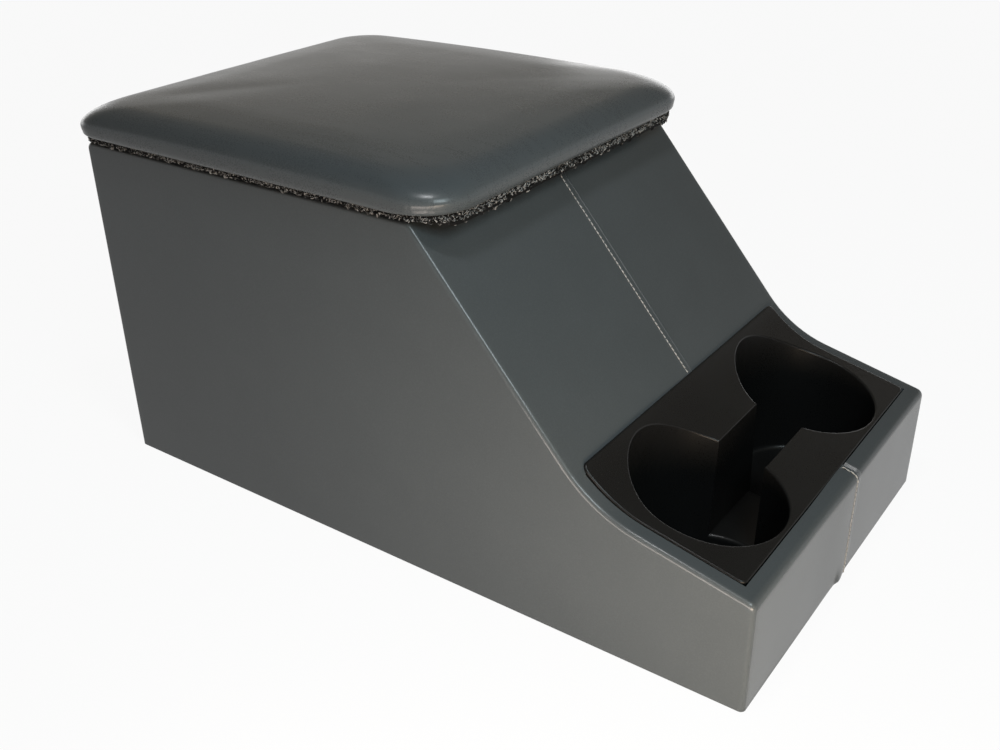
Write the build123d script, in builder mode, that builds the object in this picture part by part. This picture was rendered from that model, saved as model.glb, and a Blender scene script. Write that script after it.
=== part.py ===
from build123d import *
import os
from math import cos, radians, tan

# Car centre armrest: a vinyl-covered board box with a padded hinged lid, a carpeted bin under the lid
# and a moulded cup tray in a sloping recess. Millimetres, +Z up, the front faces -Y, and the origin is
# under the middle of the whole object, on the floor.

os.makedirs("parts", exist_ok=True)

# Box: its outside sizes over the vinyl, lengths counted from the front face
body_width = 265.0
body_length = 476.0
body_height = 227.0
front_height = 70.0
knee_length = 94.0
shelf_angle = 12.6
slope_angle = 49.2
knee_radius = 80.0
side_edge_radius = 3.0
cross_edge_radius = 5.0

# Sheet goods
vinyl = 1.0
board = 8.0
bin_carpet = 3.0
bin_carpet_drop = 2.0

# Seams where the two covers meet, to the right of the middle
slope_seam = 7.8
front_seam = 17.0
turn_in_gap = 0.6

# Cup tray
tray_wall = 1.8
tray_side_gap = 0.6
tray_rise = 0.8
tray_seat_gap = 0.3
tray_lip = 7.5
tray_lap = 3.0
tray_corner = 4.0
cup_radius = 44.3
cup_side_margin = 9.3
cup_from_front = 57.4
cup_floor = 13.0
cup_draft = 3.0
cup_floor_fillet = 4.0
slot_width = 29.3
slot_floor = 22.0
slot_step_radius = 3.0
rim_radius = 1.2
cup_clearance = 0.5
partition_gap = 4.0
cleat_width = 6.5
cleat_height = 14.0
cleat_length = 48.0

# Lid
lid_side_overhang = 6.2
lid_rear_overhang = 6.0
lid_length = 297.0
lid_height = 25.0
lid_front_corner = 31.0
lid_rear_corner = 19.0
lid_shoulder = 15.0
lid_lower_edge = 3.0
lid_crown_radius = 2700.0
lid_hem = 18.0
lid_carpet_thickness = 4.2
lid_carpet_inset = 4.0
lid_gap = 0.3

# Piano hinge
leaf_thickness = 0.9
leaf_width = 20.0
leaf_length = 220.0
knuckle_count = 11
knuckle_radius = 2.0
knuckle_gap = 0.3
pin_radius = 1.0
pin_clearance = 0.05

# Screws
screw_radius = 1.5
screw_head_radius = 2.8
screw_clearance = 0.05
screw_tip = 1.5
carcass_screw_length = 30.0
carcass_screw_sink = 0.4
carcass_screw_rim = 0.3
hinge_screw_head = 0.9
hinge_screw_bite = 6.5
hinge_screw_count = 6
hinge_screw_edge = 8.0
base_screw_pitch = 180.0
rear_screw_pitch = 72.0
front_screw_pitch = 28.0
slope_screw_pitch = 68.0

# Holes that bolt the box down to the car
floor_bolt_radius = 3.3
floor_bolt_spacing_x = 120.0
floor_bolt_spacing_y = 200.0

# Places that follow from the sizes
front_y = -(body_length + lid_rear_overhang) / 2
rear_y = front_y + body_length
outer_x = body_width / 2
board_outer_x = outer_x - vinyl
board_inner_x = board_outer_x - board
recess_x = board_inner_x - vinyl
front_board_y = front_y + vinyl
front_inner_y = front_board_y + board
rear_inner_y = rear_y - vinyl - board
board_top = body_height - vinyl
carpet_top = board_top - bin_carpet_drop

shelf = radians(shelf_angle)
slope = radians(slope_angle)
knee_y = front_y + knee_length
knee_z = front_height + knee_length * tan(shelf)
slope_top_y = knee_y + (body_height - knee_z) / tan(slope)

cleat_depth = tray_lip - tray_rise
vinyl_turn_in = cleat_depth - turn_in_gap
tray_half = recess_x - tray_side_gap
cup_spacing = 2 * (tray_half - cup_side_margin - cup_radius)
cup_y = front_y + cup_from_front
well_draft = tan(radians(cup_draft))
rim_z = front_height + cup_from_front * tan(shelf) + tray_rise
cup_back_y = cup_y + cup_radius + tray_wall
cup_flare = (knee_z + (cup_back_y - knee_y) * tan(slope) - rim_z) * well_draft
slope_foot_y = cup_back_y + cup_flare + cup_clearance
partition_y = slope_foot_y + partition_gap
bin_front_y = partition_y + board

lid_half_width = outer_x + lid_side_overhang
lid_rear_y = rear_y + lid_rear_overhang
lid_mid_y = lid_rear_y - lid_length / 2
lid_bottom = body_height + lid_gap + lid_carpet_thickness
lid_board_bottom = lid_bottom + vinyl
lid_board_top = lid_board_bottom + board

pivot_y = rear_y + knuckle_radius
pivot_z = lid_bottom - lid_gap - knuckle_radius
bore_radius = pin_radius + pin_clearance
leaf_clear = knuckle_radius + knuckle_gap


# Heights of the sloping surfaces, at a depth measured square to them

def shelf_z(y, depth):
    """Height of the shelf line at y, moved down square to itself by depth."""
    return front_height + (y - front_y) * tan(shelf) - depth / cos(shelf)


def slope_z(y, depth):
    """Height of the slope line at y, moved down square to itself by depth."""
    return knee_z + (y - knee_y) * tan(slope) - depth / cos(slope)


def slope_y(z, depth):
    """The y at which the slope line, moved down square to itself by depth, reaches z."""
    return knee_y + (z + depth / cos(slope) - knee_z) / tan(slope)


def knee_points(start_y, end_y, shelf_depth, slope_depth):
    """Start, corner and end of a line that follows the shelf and then the slope."""
    drop = shelf_z(knee_y, shelf_depth) - slope_z(knee_y, slope_depth)
    corner_y = knee_y + drop / (tan(slope) - tan(shelf))
    start = (start_y, shelf_z(start_y, shelf_depth))
    corner = (corner_y, shelf_z(corner_y, shelf_depth))
    return start, corner, (end_y, slope_z(end_y, slope_depth))


# Shapes that several pieces share

def box_outline(inset):
    """Side outline of the box in Y and Z, moved inwards by inset."""
    corners = [
        (front_y, 0),
        (front_y, front_height),
        (knee_y, knee_z),
        (slope_top_y, body_height),
        (rear_y, body_height),
        (rear_y, 0),
    ]
    with BuildSketch() as outline:
        with BuildLine():
            Polyline(*corners, close=True)
        make_face()
        for corner in (corners[1], corners[3], corners[4]):
            fillet(outline.vertices().sort_by_distance(corner)[0], cross_edge_radius)
        fillet(outline.vertices().sort_by_distance(corners[2])[0], knee_radius)
        if inset > 0:
            offset(amount=-inset)
    return outline.sketch


def box_form(inset):
    """The box as one block, with its side edges rounded, moved inwards by inset."""
    outline = box_outline(inset)
    half = outer_x - inset
    with BuildPart() as form:
        with BuildSketch(Plane.YZ):
            add(outline)
        extrude(amount=half, both=True)
        ends = form.faces().filter_by(Axis.X).sort_by(Axis.X)
        edges = (ends[0].edges() + ends[-1].edges()).filter_by(lambda edge: edge.center().Z > inset + vinyl)
        fillet(edges, side_edge_radius - inset)
    return form.part


def lid_plan(inset):
    """The lid seen from above, moved inwards by inset: its front corners are rounder than the rear ones."""
    with BuildSketch() as plan:
        with Locations((0, lid_mid_y)):
            Rectangle(2 * (lid_half_width - inset), lid_length - 2 * inset)
        fillet(plan.vertices().group_by(Axis.Y)[0], lid_front_corner - inset)
        fillet(plan.vertices().group_by(Axis.Y)[-1], lid_rear_corner - inset)
    return plan.sketch


def lid_form(inset):
    """The padded lid as one block: rounded plan, crowned top, soft shoulder, moved inwards by inset."""
    with BuildPart() as form:
        with BuildSketch(Plane.XY.offset(lid_bottom + inset)):
            add(lid_plan(inset))
        extrude(amount=lid_height - inset)
        with Locations((0, lid_mid_y, lid_bottom + lid_height - lid_crown_radius)):
            Sphere(lid_crown_radius - inset, rotation=(90, 0, 0), mode=Mode.INTERSECT)
        fillet(form.faces().sort_by(Axis.Z)[-1].edges(), lid_shoulder - inset)
        fillet(form.faces().sort_by(Axis.Z)[0].edges(), lid_lower_edge - inset)
    return form.part


def countersunk_screw(clearance):
    """Countersunk carcass screw sunk below the origin, pointing down, or its hole with a clearance."""
    shank = screw_radius + clearance
    head = screw_head_radius + clearance
    length = carcass_screw_length + clearance
    head_top = 0 if clearance > 0 else -carcass_screw_sink
    rim_bottom = -carcass_screw_sink - carcass_screw_rim - clearance
    with BuildPart() as screw:
        with BuildSketch(Plane.XZ):
            with BuildLine():
                Polyline(
                    (0, head_top),
                    (head, head_top),
                    (head, rim_bottom),
                    (shank, rim_bottom + shank - head),
                    (shank, screw_tip - length),
                    (0, -length),
                    close=True,
                )
            make_face()
        revolve(axis=Axis.Z)
    return screw.part


def hinge_screw(clearance):
    """Flat-headed hinge screw, head seated on the leaf at the origin, or its hole with a clearance."""
    shank = screw_radius + clearance
    length = leaf_thickness + vinyl + hinge_screw_bite + clearance
    with BuildPart() as screw:
        with BuildSketch(Plane.XZ):
            with BuildLine():
                Polyline(
                    (0, hinge_screw_head),
                    (screw_head_radius, hinge_screw_head),
                    (screw_head_radius, 0),
                    (shank, 0),
                    (shank, screw_tip - length),
                    (0, -length),
                    close=True,
                )
            make_face()
        revolve(axis=Axis.Z)
    return screw.part


outer_form = box_form(0)
inner_form = box_form(vinyl)
inner_outline = box_outline(vinyl)
lid_outer = lid_form(0)
lid_inner = lid_form(vinyl)

# Where the screws go: carcass screws through the side boards, hinge screws through the leaves
middle = board / 2
base_mid_y = (front_inner_y + rear_inner_y) / 2
base_screws = [(base_mid_y + step * base_screw_pitch, middle) for step in (-1, 0, 1)]
rear_screws = [(rear_inner_y + middle, body_height / 2 + step * rear_screw_pitch) for step in (-1, 0, 1)]
front_screw_zs = [front_height / 2 + step * front_screw_pitch / 2 for step in (-1, 1)]
front_screws = [(front_board_y + middle, z) for z in front_screw_zs]
slope_mid_z = (knee_z + body_height) / 2
slope_screw_zs = [slope_mid_z + step * slope_screw_pitch / 2 for step in (-1, 1)]
slope_screws = [(slope_y(z, vinyl + middle), z) for z in slope_screw_zs]
side_screws = base_screws + rear_screws + front_screws + slope_screws

right_screw_places = [Location((board_outer_x, y, z), (0, 90, 0)) for y, z in side_screws]
left_screw_places = [Location((-board_outer_x, y, z), (0, -90, 0)) for y, z in side_screws]

hinge_screw_pitch = (leaf_length - 2 * hinge_screw_edge) / (hinge_screw_count - 1)
first_screw_x = hinge_screw_edge - leaf_length / 2
hinge_screw_xs = [first_screw_x + i * hinge_screw_pitch for i in range(hinge_screw_count)]
leaf_screw_line = (leaf_clear + leaf_width) / 2
body_leaf_places = [
    Location((x, rear_y + leaf_thickness, pivot_z - leaf_screw_line), (-90, 0, 0)) for x in hinge_screw_xs
]
lid_leaf_places = [
    Location((x, pivot_y - leaf_screw_line, lid_bottom - leaf_thickness), (180, 0, 0)) for x in hinge_screw_xs
]
carcass_hole = countersunk_screw(screw_clearance)
hinge_hole = hinge_screw(screw_clearance)

# Side boards, cut to the side outline of the box
with BuildPart() as right_side_board:
    add(inner_form)
    split(bisect_by=Plane.YZ.offset(board_inner_x), keep=Keep.TOP)
    with Locations(*right_screw_places):
        add(carcass_hole, mode=Mode.SUBTRACT)
right_side_board.part.label = "right_side_board"
export_step(right_side_board.part, "parts/right_side_board.step")

with BuildPart() as left_side_board:
    mirror(right_side_board.part, about=Plane.YZ)
left_side_board.part.label = "left_side_board"
export_step(left_side_board.part, "parts/left_side_board.step")

# Front and rear boards, upright between the side boards
with BuildPart() as front_board:
    with BuildSketch(Plane.YZ):
        add(inner_outline)
        with Locations((front_board_y, 0)):
            Rectangle(board, front_height * 2, align=(Align.MIN, Align.CENTER), mode=Mode.INTERSECT)
    extrude(amount=board_inner_x, both=True)
    with Locations(*right_screw_places, *left_screw_places):
        add(carcass_hole, mode=Mode.SUBTRACT)
front_board.part.label = "front_board"
export_step(front_board.part, "parts/front_board.step")

with BuildPart() as rear_board:
    with BuildSketch(Plane.YZ):
        add(inner_outline)
        with Locations((rear_inner_y, 0)):
            Rectangle(board, body_height * 2, align=(Align.MIN, Align.CENTER), mode=Mode.INTERSECT)
    extrude(amount=board_inner_x, both=True)
    with Locations(*right_screw_places, *left_screw_places):
        add(carcass_hole, mode=Mode.SUBTRACT)
    with Locations(*body_leaf_places):
        add(hinge_hole, mode=Mode.SUBTRACT)
rear_board.part.label = "rear_board"
export_step(rear_board.part, "parts/rear_board.step")

# Slope board, from the tray's rear edge up to the rim of the bin
with BuildPart() as slope_board:
    with BuildSketch(Plane.YZ):
        add(inner_outline)
        with BuildLine():
            Polyline(
                (slope_foot_y, slope_z(slope_foot_y, vinyl + board)),
                (slope_y(body_height, vinyl + board), body_height),
                (slope_foot_y, body_height),
                close=True,
            )
        make_face(mode=Mode.INTERSECT)
    extrude(amount=board_inner_x, both=True)
    with Locations(*right_screw_places, *left_screw_places):
        add(carcass_hole, mode=Mode.SUBTRACT)
slope_board.part.label = "slope_board"
export_step(slope_board.part, "parts/slope_board.step")

# Base board, between the four walls and flush with the covers' hem
with BuildPart() as base_board:
    with BuildSketch():
        with Locations((0, base_mid_y)):
            Rectangle(2 * board_inner_x, rear_inner_y - front_inner_y)
    extrude(amount=board)
    with Locations(*right_screw_places, *left_screw_places):
        add(carcass_hole, mode=Mode.SUBTRACT)
    bolt_mid_y = (bin_front_y + rear_inner_y) / 2
    with Locations((0, bolt_mid_y, board)):
        with GridLocations(floor_bolt_spacing_x, floor_bolt_spacing_y, 2, 2):
            Hole(floor_bolt_radius)
base_board.part.label = "base_board"
export_step(base_board.part, "parts/base_board.step")

# Partition between the tray's recess and the bin, cut at the top to the slope board
with BuildPart() as partition_board:
    with BuildSketch(Plane.YZ):
        with BuildLine():
            Polyline(
                (partition_y, board),
                (bin_front_y, board),
                (bin_front_y, slope_z(bin_front_y, vinyl + board)),
                (partition_y, slope_z(partition_y, vinyl + board)),
                close=True,
            )
        make_face()
    extrude(amount=board_inner_x, both=True)
partition_board.part.label = "partition_board"
export_step(partition_board.part, "parts/partition_board.step")

# Carcass screws, all of one kind
carcass_screw = countersunk_screw(0)
with BuildPart() as carcass_screws:
    with Locations(*right_screw_places, *left_screw_places):
        add(carcass_screw)
carcass_screws.part.label = "carcass_screws"
export_step(carcass_screws.part, "parts/carcass_screws.step")

# Cleats on the side boards that carry the tray's lip
cleat_start_y = front_inner_y + vinyl + tray_wall
cleat_end_y = cleat_start_y + cleat_length
with BuildPart() as right_tray_cleat:
    with BuildSketch(Plane.YZ.offset(board_inner_x - cleat_width)):
        with BuildLine():
            Polyline(
                (cleat_start_y, shelf_z(cleat_start_y, cleat_depth)),
                (cleat_end_y, shelf_z(cleat_end_y, cleat_depth)),
                (cleat_end_y, shelf_z(cleat_end_y, cleat_depth + cleat_height)),
                (cleat_start_y, shelf_z(cleat_start_y, cleat_depth + cleat_height)),
                close=True,
            )
        make_face()
    extrude(amount=cleat_width)
right_tray_cleat.part.label = "right_tray_cleat"
export_step(right_tray_cleat.part, "parts/right_tray_cleat.step")

with BuildPart() as left_tray_cleat:
    mirror(right_tray_cleat.part, about=Plane.YZ)
left_tray_cleat.part.label = "left_tray_cleat"
export_step(left_tray_cleat.part, "parts/left_tray_cleat.step")

# The vinyl skin before it is parted at its seams: over the boards, a hem under their lower edges,
# the rim of the bin, and a turn-in down the walls of the tray's recess
turn_in_outline = box_outline(0)
with BuildPart() as vinyl_skin:
    add(outer_form)
    add(inner_form, mode=Mode.SUBTRACT)
    with BuildSketch():
        with Locations((0, front_inner_y)):
            Rectangle(2 * board_inner_x, slope_foot_y - front_inner_y, align=(Align.CENTER, Align.MIN))
    extrude(amount=body_height, mode=Mode.SUBTRACT)
    with BuildSketch(Plane.XY.offset(board_top)):
        bin_edge_y = slope_y(board_top, vinyl + board)
        with Locations((0, bin_edge_y)):
            Rectangle(2 * board_inner_x, rear_inner_y - bin_edge_y, align=(Align.CENTER, Align.MIN))
    extrude(amount=vinyl, mode=Mode.SUBTRACT)
    with BuildSketch():
        with Locations((0, front_inner_y)):
            Rectangle(2 * board_inner_x, rear_inner_y - front_inner_y, align=(Align.CENTER, Align.MIN))
    extrude(amount=vinyl, mode=Mode.SUBTRACT)
    with BuildSketch(Plane.YZ):
        add(turn_in_outline)
        with Locations((0, -vinyl_turn_in)):
            add(turn_in_outline, mode=Mode.SUBTRACT)
        with Locations((front_inner_y, 0)):
            Rectangle(
                slope_foot_y - front_inner_y,
                2 * body_height,
                align=(Align.MIN, Align.CENTER),
                mode=Mode.INTERSECT,
            )
    extrude(amount=board_inner_x, both=True)
    with BuildSketch():
        with Locations((0, front_inner_y + vinyl)):
            Rectangle(2 * recess_x, slope_foot_y - front_inner_y - vinyl, align=(Align.CENTER, Align.MIN))
    extrude(amount=slope_z(slope_foot_y, -vinyl_turn_in), mode=Mode.SUBTRACT)
    with Locations(*body_leaf_places):
        add(hinge_hole, mode=Mode.SUBTRACT)

# Everything to the right of the seams
seam_turn_y = (front_inner_y + slope_foot_y) / 2
with BuildPart() as right_of_seams:
    with BuildSketch():
        with Locations((front_seam, front_y)):
            Rectangle(body_width, seam_turn_y - front_y, align=(Align.MIN, Align.MIN))
        with Locations((slope_seam, seam_turn_y)):
            Rectangle(body_width, rear_y - seam_turn_y, align=(Align.MIN, Align.MIN))
    extrude(amount=body_height)

with BuildPart() as left_cover:
    add(vinyl_skin.part)
    add(right_of_seams.part, mode=Mode.SUBTRACT)
left_cover.part.label = "left_cover"
export_step(left_cover.part, "parts/left_cover.step")

with BuildPart() as right_cover:
    add(vinyl_skin.part)
    add(right_of_seams.part, mode=Mode.INTERSECT)
right_cover.part.label = "right_cover"
export_step(right_cover.part, "parts/right_cover.step")

# Cup tray: a flange that follows the recess, a turned-down lip, two cup wells and the handle slot
tray_front_y = front_inner_y + vinyl + tray_side_gap
tray_rear_y = slope_foot_y + tray_lap
lip_end_y = slope_foot_y - cup_clearance
well_top = body_height + lid_height
cup_floor_radius = cup_radius - (rim_z - cup_floor) * well_draft
cup_top_radius = cup_radius + (well_top - rim_z) * well_draft
flange_rise = tray_wall + tray_seat_gap


def tray_line(depth):
    """Points of the flange's top line, moved down square to itself by depth."""
    return knee_points(front_y, slope_top_y, depth - tray_rise, depth - flange_rise)


def tray_strip(depth):
    """Side outline of a strip under the flange's top line, depth thick."""
    top = tray_line(0)
    under = tray_line(depth)
    with BuildSketch() as strip:
        with BuildLine():
            FilletPolyline(*top, radius=knee_radius)
            Line(top[2], under[2])
            FilletPolyline(*under, radius=knee_radius + depth)
            Line(under[0], top[0])
        make_face()
    return strip.sketch


with BuildPart() as cup_tray:
    with BuildSketch(Plane.YZ):
        add(tray_strip(tray_lip))
    extrude(amount=tray_half, both=True)
    with BuildSketch():
        with Locations((0, tray_front_y + tray_wall)):
            Rectangle(2 * (tray_half - tray_wall), body_length, align=(Align.CENTER, Align.MIN))
        with Locations((0, lip_end_y)):
            Rectangle(body_width, body_length, align=(Align.CENTER, Align.MIN))
    extrude(amount=body_height, mode=Mode.SUBTRACT)
    with BuildSketch(Plane.YZ):
        add(tray_strip(tray_wall))
    extrude(amount=tray_half, both=True)
    with Locations((0, cup_y, cup_floor - tray_wall)):
        with GridLocations(cup_spacing, 0, 2, 1):
            Cone(
                cup_floor_radius + tray_wall,
                cup_top_radius + tray_wall,
                well_top - cup_floor + tray_wall,
                align=(Align.CENTER, Align.CENTER, Align.MIN),
            )
    with Locations((0, cup_y, slot_floor - tray_wall)):
        Box(
            cup_spacing,
            slot_width + 2 * tray_wall,
            well_top - slot_floor,
            align=(Align.CENTER, Align.CENTER, Align.MIN),
        )
    with BuildSketch(Plane.YZ):
        with BuildLine():
            over = tray_line(0)
            FilletPolyline(*over, radius=knee_radius)
            Polyline(over[2], (over[2][0], well_top), (over[0][0], well_top), over[0])
        make_face()
    extrude(amount=body_width, both=True, mode=Mode.SUBTRACT)
    with BuildSketch():
        with Locations((0, (tray_front_y + tray_rear_y) / 2)):
            RectangleRounded(2 * tray_half, tray_rear_y - tray_front_y, tray_corner)
    extrude(amount=body_height, mode=Mode.INTERSECT)
    with Locations((0, cup_y, cup_floor)):
        with GridLocations(cup_spacing, 0, 2, 1):
            Cone(
                cup_floor_radius,
                cup_top_radius,
                well_top - cup_floor,
                align=(Align.CENTER, Align.CENTER, Align.MIN),
                mode=Mode.SUBTRACT,
            )
    with Locations((0, cup_y, slot_floor)):
        Box(
            cup_spacing,
            slot_width,
            well_top - slot_floor,
            align=(Align.CENTER, Align.CENTER, Align.MIN),
            mode=Mode.SUBTRACT,
        )
    floor_rings = cup_tray.edges().filter_by(
        lambda edge: abs(edge.center().Z - cup_floor) < tray_wall / 2 and edge.geom_type == GeomType.CIRCLE
    )
    fillet(floor_rings, cup_floor_fillet)
    step_edges = cup_tray.edges().filter_by(
        lambda edge: abs(edge.center().Z - slot_floor) < tray_wall / 4
        and edge.bounding_box().size.Y > slot_width / 2
    )
    fillet(step_edges, slot_step_radius)
    top_faces = cup_tray.faces().filter_by(
        lambda face: face.normal_at().Z > 0.5 and face.center().Z > rim_z - tray_lip
    )
    top_edges = top_faces.edges().filter_by(lambda edge: edge.bounding_box().size.X < tray_half)
    fillet(top_edges, rim_radius)
cup_tray.part.label = "cup_tray"
export_step(cup_tray.part, "parts/cup_tray.step")

# Carpet lining of the bin: side pieces first, the others between them
carpet_inner_x = board_inner_x - bin_carpet
with BuildPart() as right_carpet:
    with BuildSketch(Plane.YZ.offset(carpet_inner_x)):
        with BuildLine():
            Polyline(
                (bin_front_y, board),
                (rear_inner_y, board),
                (rear_inner_y, carpet_top),
                (slope_y(carpet_top, vinyl + board), carpet_top),
                (bin_front_y, slope_z(bin_front_y, vinyl + board)),
                close=True,
            )
        make_face()
    extrude(amount=bin_carpet)
right_carpet.part.label = "right_carpet"
export_step(right_carpet.part, "parts/right_carpet.step")

with BuildPart() as left_carpet:
    mirror(right_carpet.part, about=Plane.YZ)
left_carpet.part.label = "left_carpet"
export_step(left_carpet.part, "parts/left_carpet.step")

with BuildPart() as floor_carpet:
    with BuildSketch(Plane.XY.offset(board)):
        with Locations((0, (bin_front_y + rear_inner_y) / 2)):
            Rectangle(2 * carpet_inner_x, rear_inner_y - bin_front_y)
    extrude(amount=bin_carpet)
    with Locations((0, bolt_mid_y, board + bin_carpet)):
        with GridLocations(floor_bolt_spacing_x, floor_bolt_spacing_y, 2, 2):
            Hole(floor_bolt_radius)
floor_carpet.part.label = "floor_carpet"
export_step(floor_carpet.part, "parts/floor_carpet.step")

with BuildPart() as rear_carpet:
    with BuildSketch(Plane.XY.offset(board + bin_carpet)):
        with Locations((0, rear_inner_y - bin_carpet / 2)):
            Rectangle(2 * carpet_inner_x, bin_carpet)
    extrude(amount=carpet_top - board - bin_carpet)
rear_carpet.part.label = "rear_carpet"
export_step(rear_carpet.part, "parts/rear_carpet.step")

front_carpet_y = bin_front_y + bin_carpet
slope_carpet_depth = vinyl + board + bin_carpet
with BuildPart() as front_carpet:
    with BuildSketch(Plane.YZ):
        with BuildLine():
            Polyline(
                (bin_front_y, board + bin_carpet),
                (front_carpet_y, board + bin_carpet),
                (front_carpet_y, slope_z(front_carpet_y, slope_carpet_depth)),
                (slope_y(carpet_top, slope_carpet_depth), carpet_top),
                (slope_y(carpet_top, vinyl + board), carpet_top),
                (bin_front_y, slope_z(bin_front_y, vinyl + board)),
                close=True,
            )
        make_face()
    extrude(amount=carpet_inner_x, both=True)
front_carpet.part.label = "front_carpet"
export_step(front_carpet.part, "parts/front_carpet.step")

# Lid: a board, foam on it, and the vinyl drawn over both with its hem tucked under the board
with BuildPart() as lid_board:
    add(lid_inner)
    split(bisect_by=Plane.XY.offset(lid_board_top), keep=Keep.BOTTOM)
    with Locations(*lid_leaf_places):
        add(hinge_hole, mode=Mode.SUBTRACT)
lid_board.part.label = "lid_board"
export_step(lid_board.part, "parts/lid_board.step")

with BuildPart() as lid_foam:
    add(lid_inner)
    split(bisect_by=Plane.XY.offset(lid_board_top), keep=Keep.TOP)
lid_foam.part.label = "lid_foam"
export_step(lid_foam.part, "parts/lid_foam.step")

with BuildPart() as lid_cover:
    add(lid_outer)
    add(lid_inner, mode=Mode.SUBTRACT)
    with BuildSketch(Plane.XY.offset(lid_bottom)):
        with Locations((0, lid_mid_y)):
            RectangleRounded(
                2 * (lid_half_width - lid_hem),
                lid_length - 2 * lid_hem,
                lid_front_corner - lid_hem,
            )
    extrude(amount=vinyl, mode=Mode.SUBTRACT)
    with Locations(*lid_leaf_places):
        add(hinge_hole, mode=Mode.SUBTRACT)
lid_cover.part.label = "lid_cover"
export_step(lid_cover.part, "parts/lid_cover.step")

# Lid carpet, cut out round the hinge's upper leaf
notch_front_y = pivot_y - leaf_width - knuckle_gap
notch_half = leaf_length / 2 + knuckle_gap
with BuildPart() as lid_carpet:
    with BuildSketch(Plane.XY.offset(lid_bottom - lid_carpet_thickness)):
        add(lid_plan(lid_carpet_inset))
        with Locations((0, notch_front_y)):
            Rectangle(
                2 * notch_half,
                body_length,
                align=(Align.CENTER, Align.MIN),
                mode=Mode.SUBTRACT,
            )
        with Locations((0, rear_y)):
            Rectangle(body_width * 2, body_length, align=(Align.CENTER, Align.MIN), mode=Mode.SUBTRACT)
    extrude(amount=lid_carpet_thickness)
lid_carpet.part.label = "lid_carpet"
export_step(lid_carpet.part, "parts/lid_carpet.step")

# Piano hinge: the knuckles take turns along the pin, the odd ones on the box's leaf
knuckle_pitch = leaf_length / knuckle_count
knuckle_length = knuckle_pitch - knuckle_gap
knuckle_xs = [-leaf_length / 2 + (i + 0.5) * knuckle_pitch for i in range(knuckle_count)]
body_knuckles = [(x, pivot_y, pivot_z) for x in knuckle_xs[0::2]]
lid_knuckles = [(x, pivot_y, pivot_z) for x in knuckle_xs[1::2]]

with BuildPart() as hinge_body_leaf:
    with Locations((0, rear_y, pivot_z - leaf_width)):
        Box(leaf_length, leaf_thickness, leaf_width - leaf_clear, align=(Align.CENTER, Align.MIN, Align.MIN))
    with Locations(*[(x, rear_y, pivot_z) for x in knuckle_xs[0::2]]):
        Box(knuckle_length, leaf_thickness, leaf_clear, align=(Align.CENTER, Align.MIN, Align.MAX))
    with Locations(*body_knuckles):
        Cylinder(knuckle_radius, knuckle_length, rotation=(0, 90, 0))
    with Locations((0, pivot_y, pivot_z)):
        Cylinder(bore_radius, leaf_length, rotation=(0, 90, 0), mode=Mode.SUBTRACT)
    with Locations(*body_leaf_places):
        add(hinge_hole, mode=Mode.SUBTRACT)
hinge_body_leaf.part.label = "hinge_body_leaf"
export_step(hinge_body_leaf.part, "parts/hinge_body_leaf.step")

with BuildPart() as hinge_lid_leaf:
    with Locations((0, pivot_y - leaf_width, lid_bottom)):
        Box(leaf_length, leaf_width - leaf_clear, leaf_thickness, align=(Align.CENTER, Align.MIN, Align.MAX))
    with Locations(*[(x, pivot_y, lid_bottom) for x in knuckle_xs[1::2]]):
        Box(knuckle_length, leaf_clear, leaf_thickness, align=(Align.CENTER, Align.MAX, Align.MAX))
    with Locations(*lid_knuckles):
        Cylinder(knuckle_radius, knuckle_length, rotation=(0, 90, 0))
    with Locations((0, pivot_y, pivot_z)):
        Cylinder(bore_radius, leaf_length, rotation=(0, 90, 0), mode=Mode.SUBTRACT)
    with Locations(*lid_leaf_places):
        add(hinge_hole, mode=Mode.SUBTRACT)
hinge_lid_leaf.part.label = "hinge_lid_leaf"
export_step(hinge_lid_leaf.part, "parts/hinge_lid_leaf.step")

with BuildPart() as hinge_pin:
    with Locations((0, pivot_y, pivot_z)):
        Cylinder(pin_radius, leaf_length, rotation=(0, 90, 0))
hinge_pin.part.label = "hinge_pin"
export_step(hinge_pin.part, "parts/hinge_pin.step")

leaf_screw = hinge_screw(0)
with BuildPart() as hinge_body_screws:
    with Locations(*body_leaf_places):
        add(leaf_screw)
hinge_body_screws.part.label = "hinge_body_screws"
export_step(hinge_body_screws.part, "parts/hinge_body_screws.step")

with BuildPart() as hinge_lid_screws:
    with Locations(*lid_leaf_places):
        add(leaf_screw)
hinge_lid_screws.part.label = "hinge_lid_screws"
export_step(hinge_lid_screws.part, "parts/hinge_lid_screws.step")
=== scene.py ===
import logging
import math
from dataclasses import dataclass, replace
from enum import Enum
from typing import Any, Callable, Iterable, Mapping, Sequence

import bmesh
import bpy
import numpy as np
from mathutils import Matrix, Vector, noise
from mathutils.bvhtree import BVHTree
from mathutils.kdtree import KDTree


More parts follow.
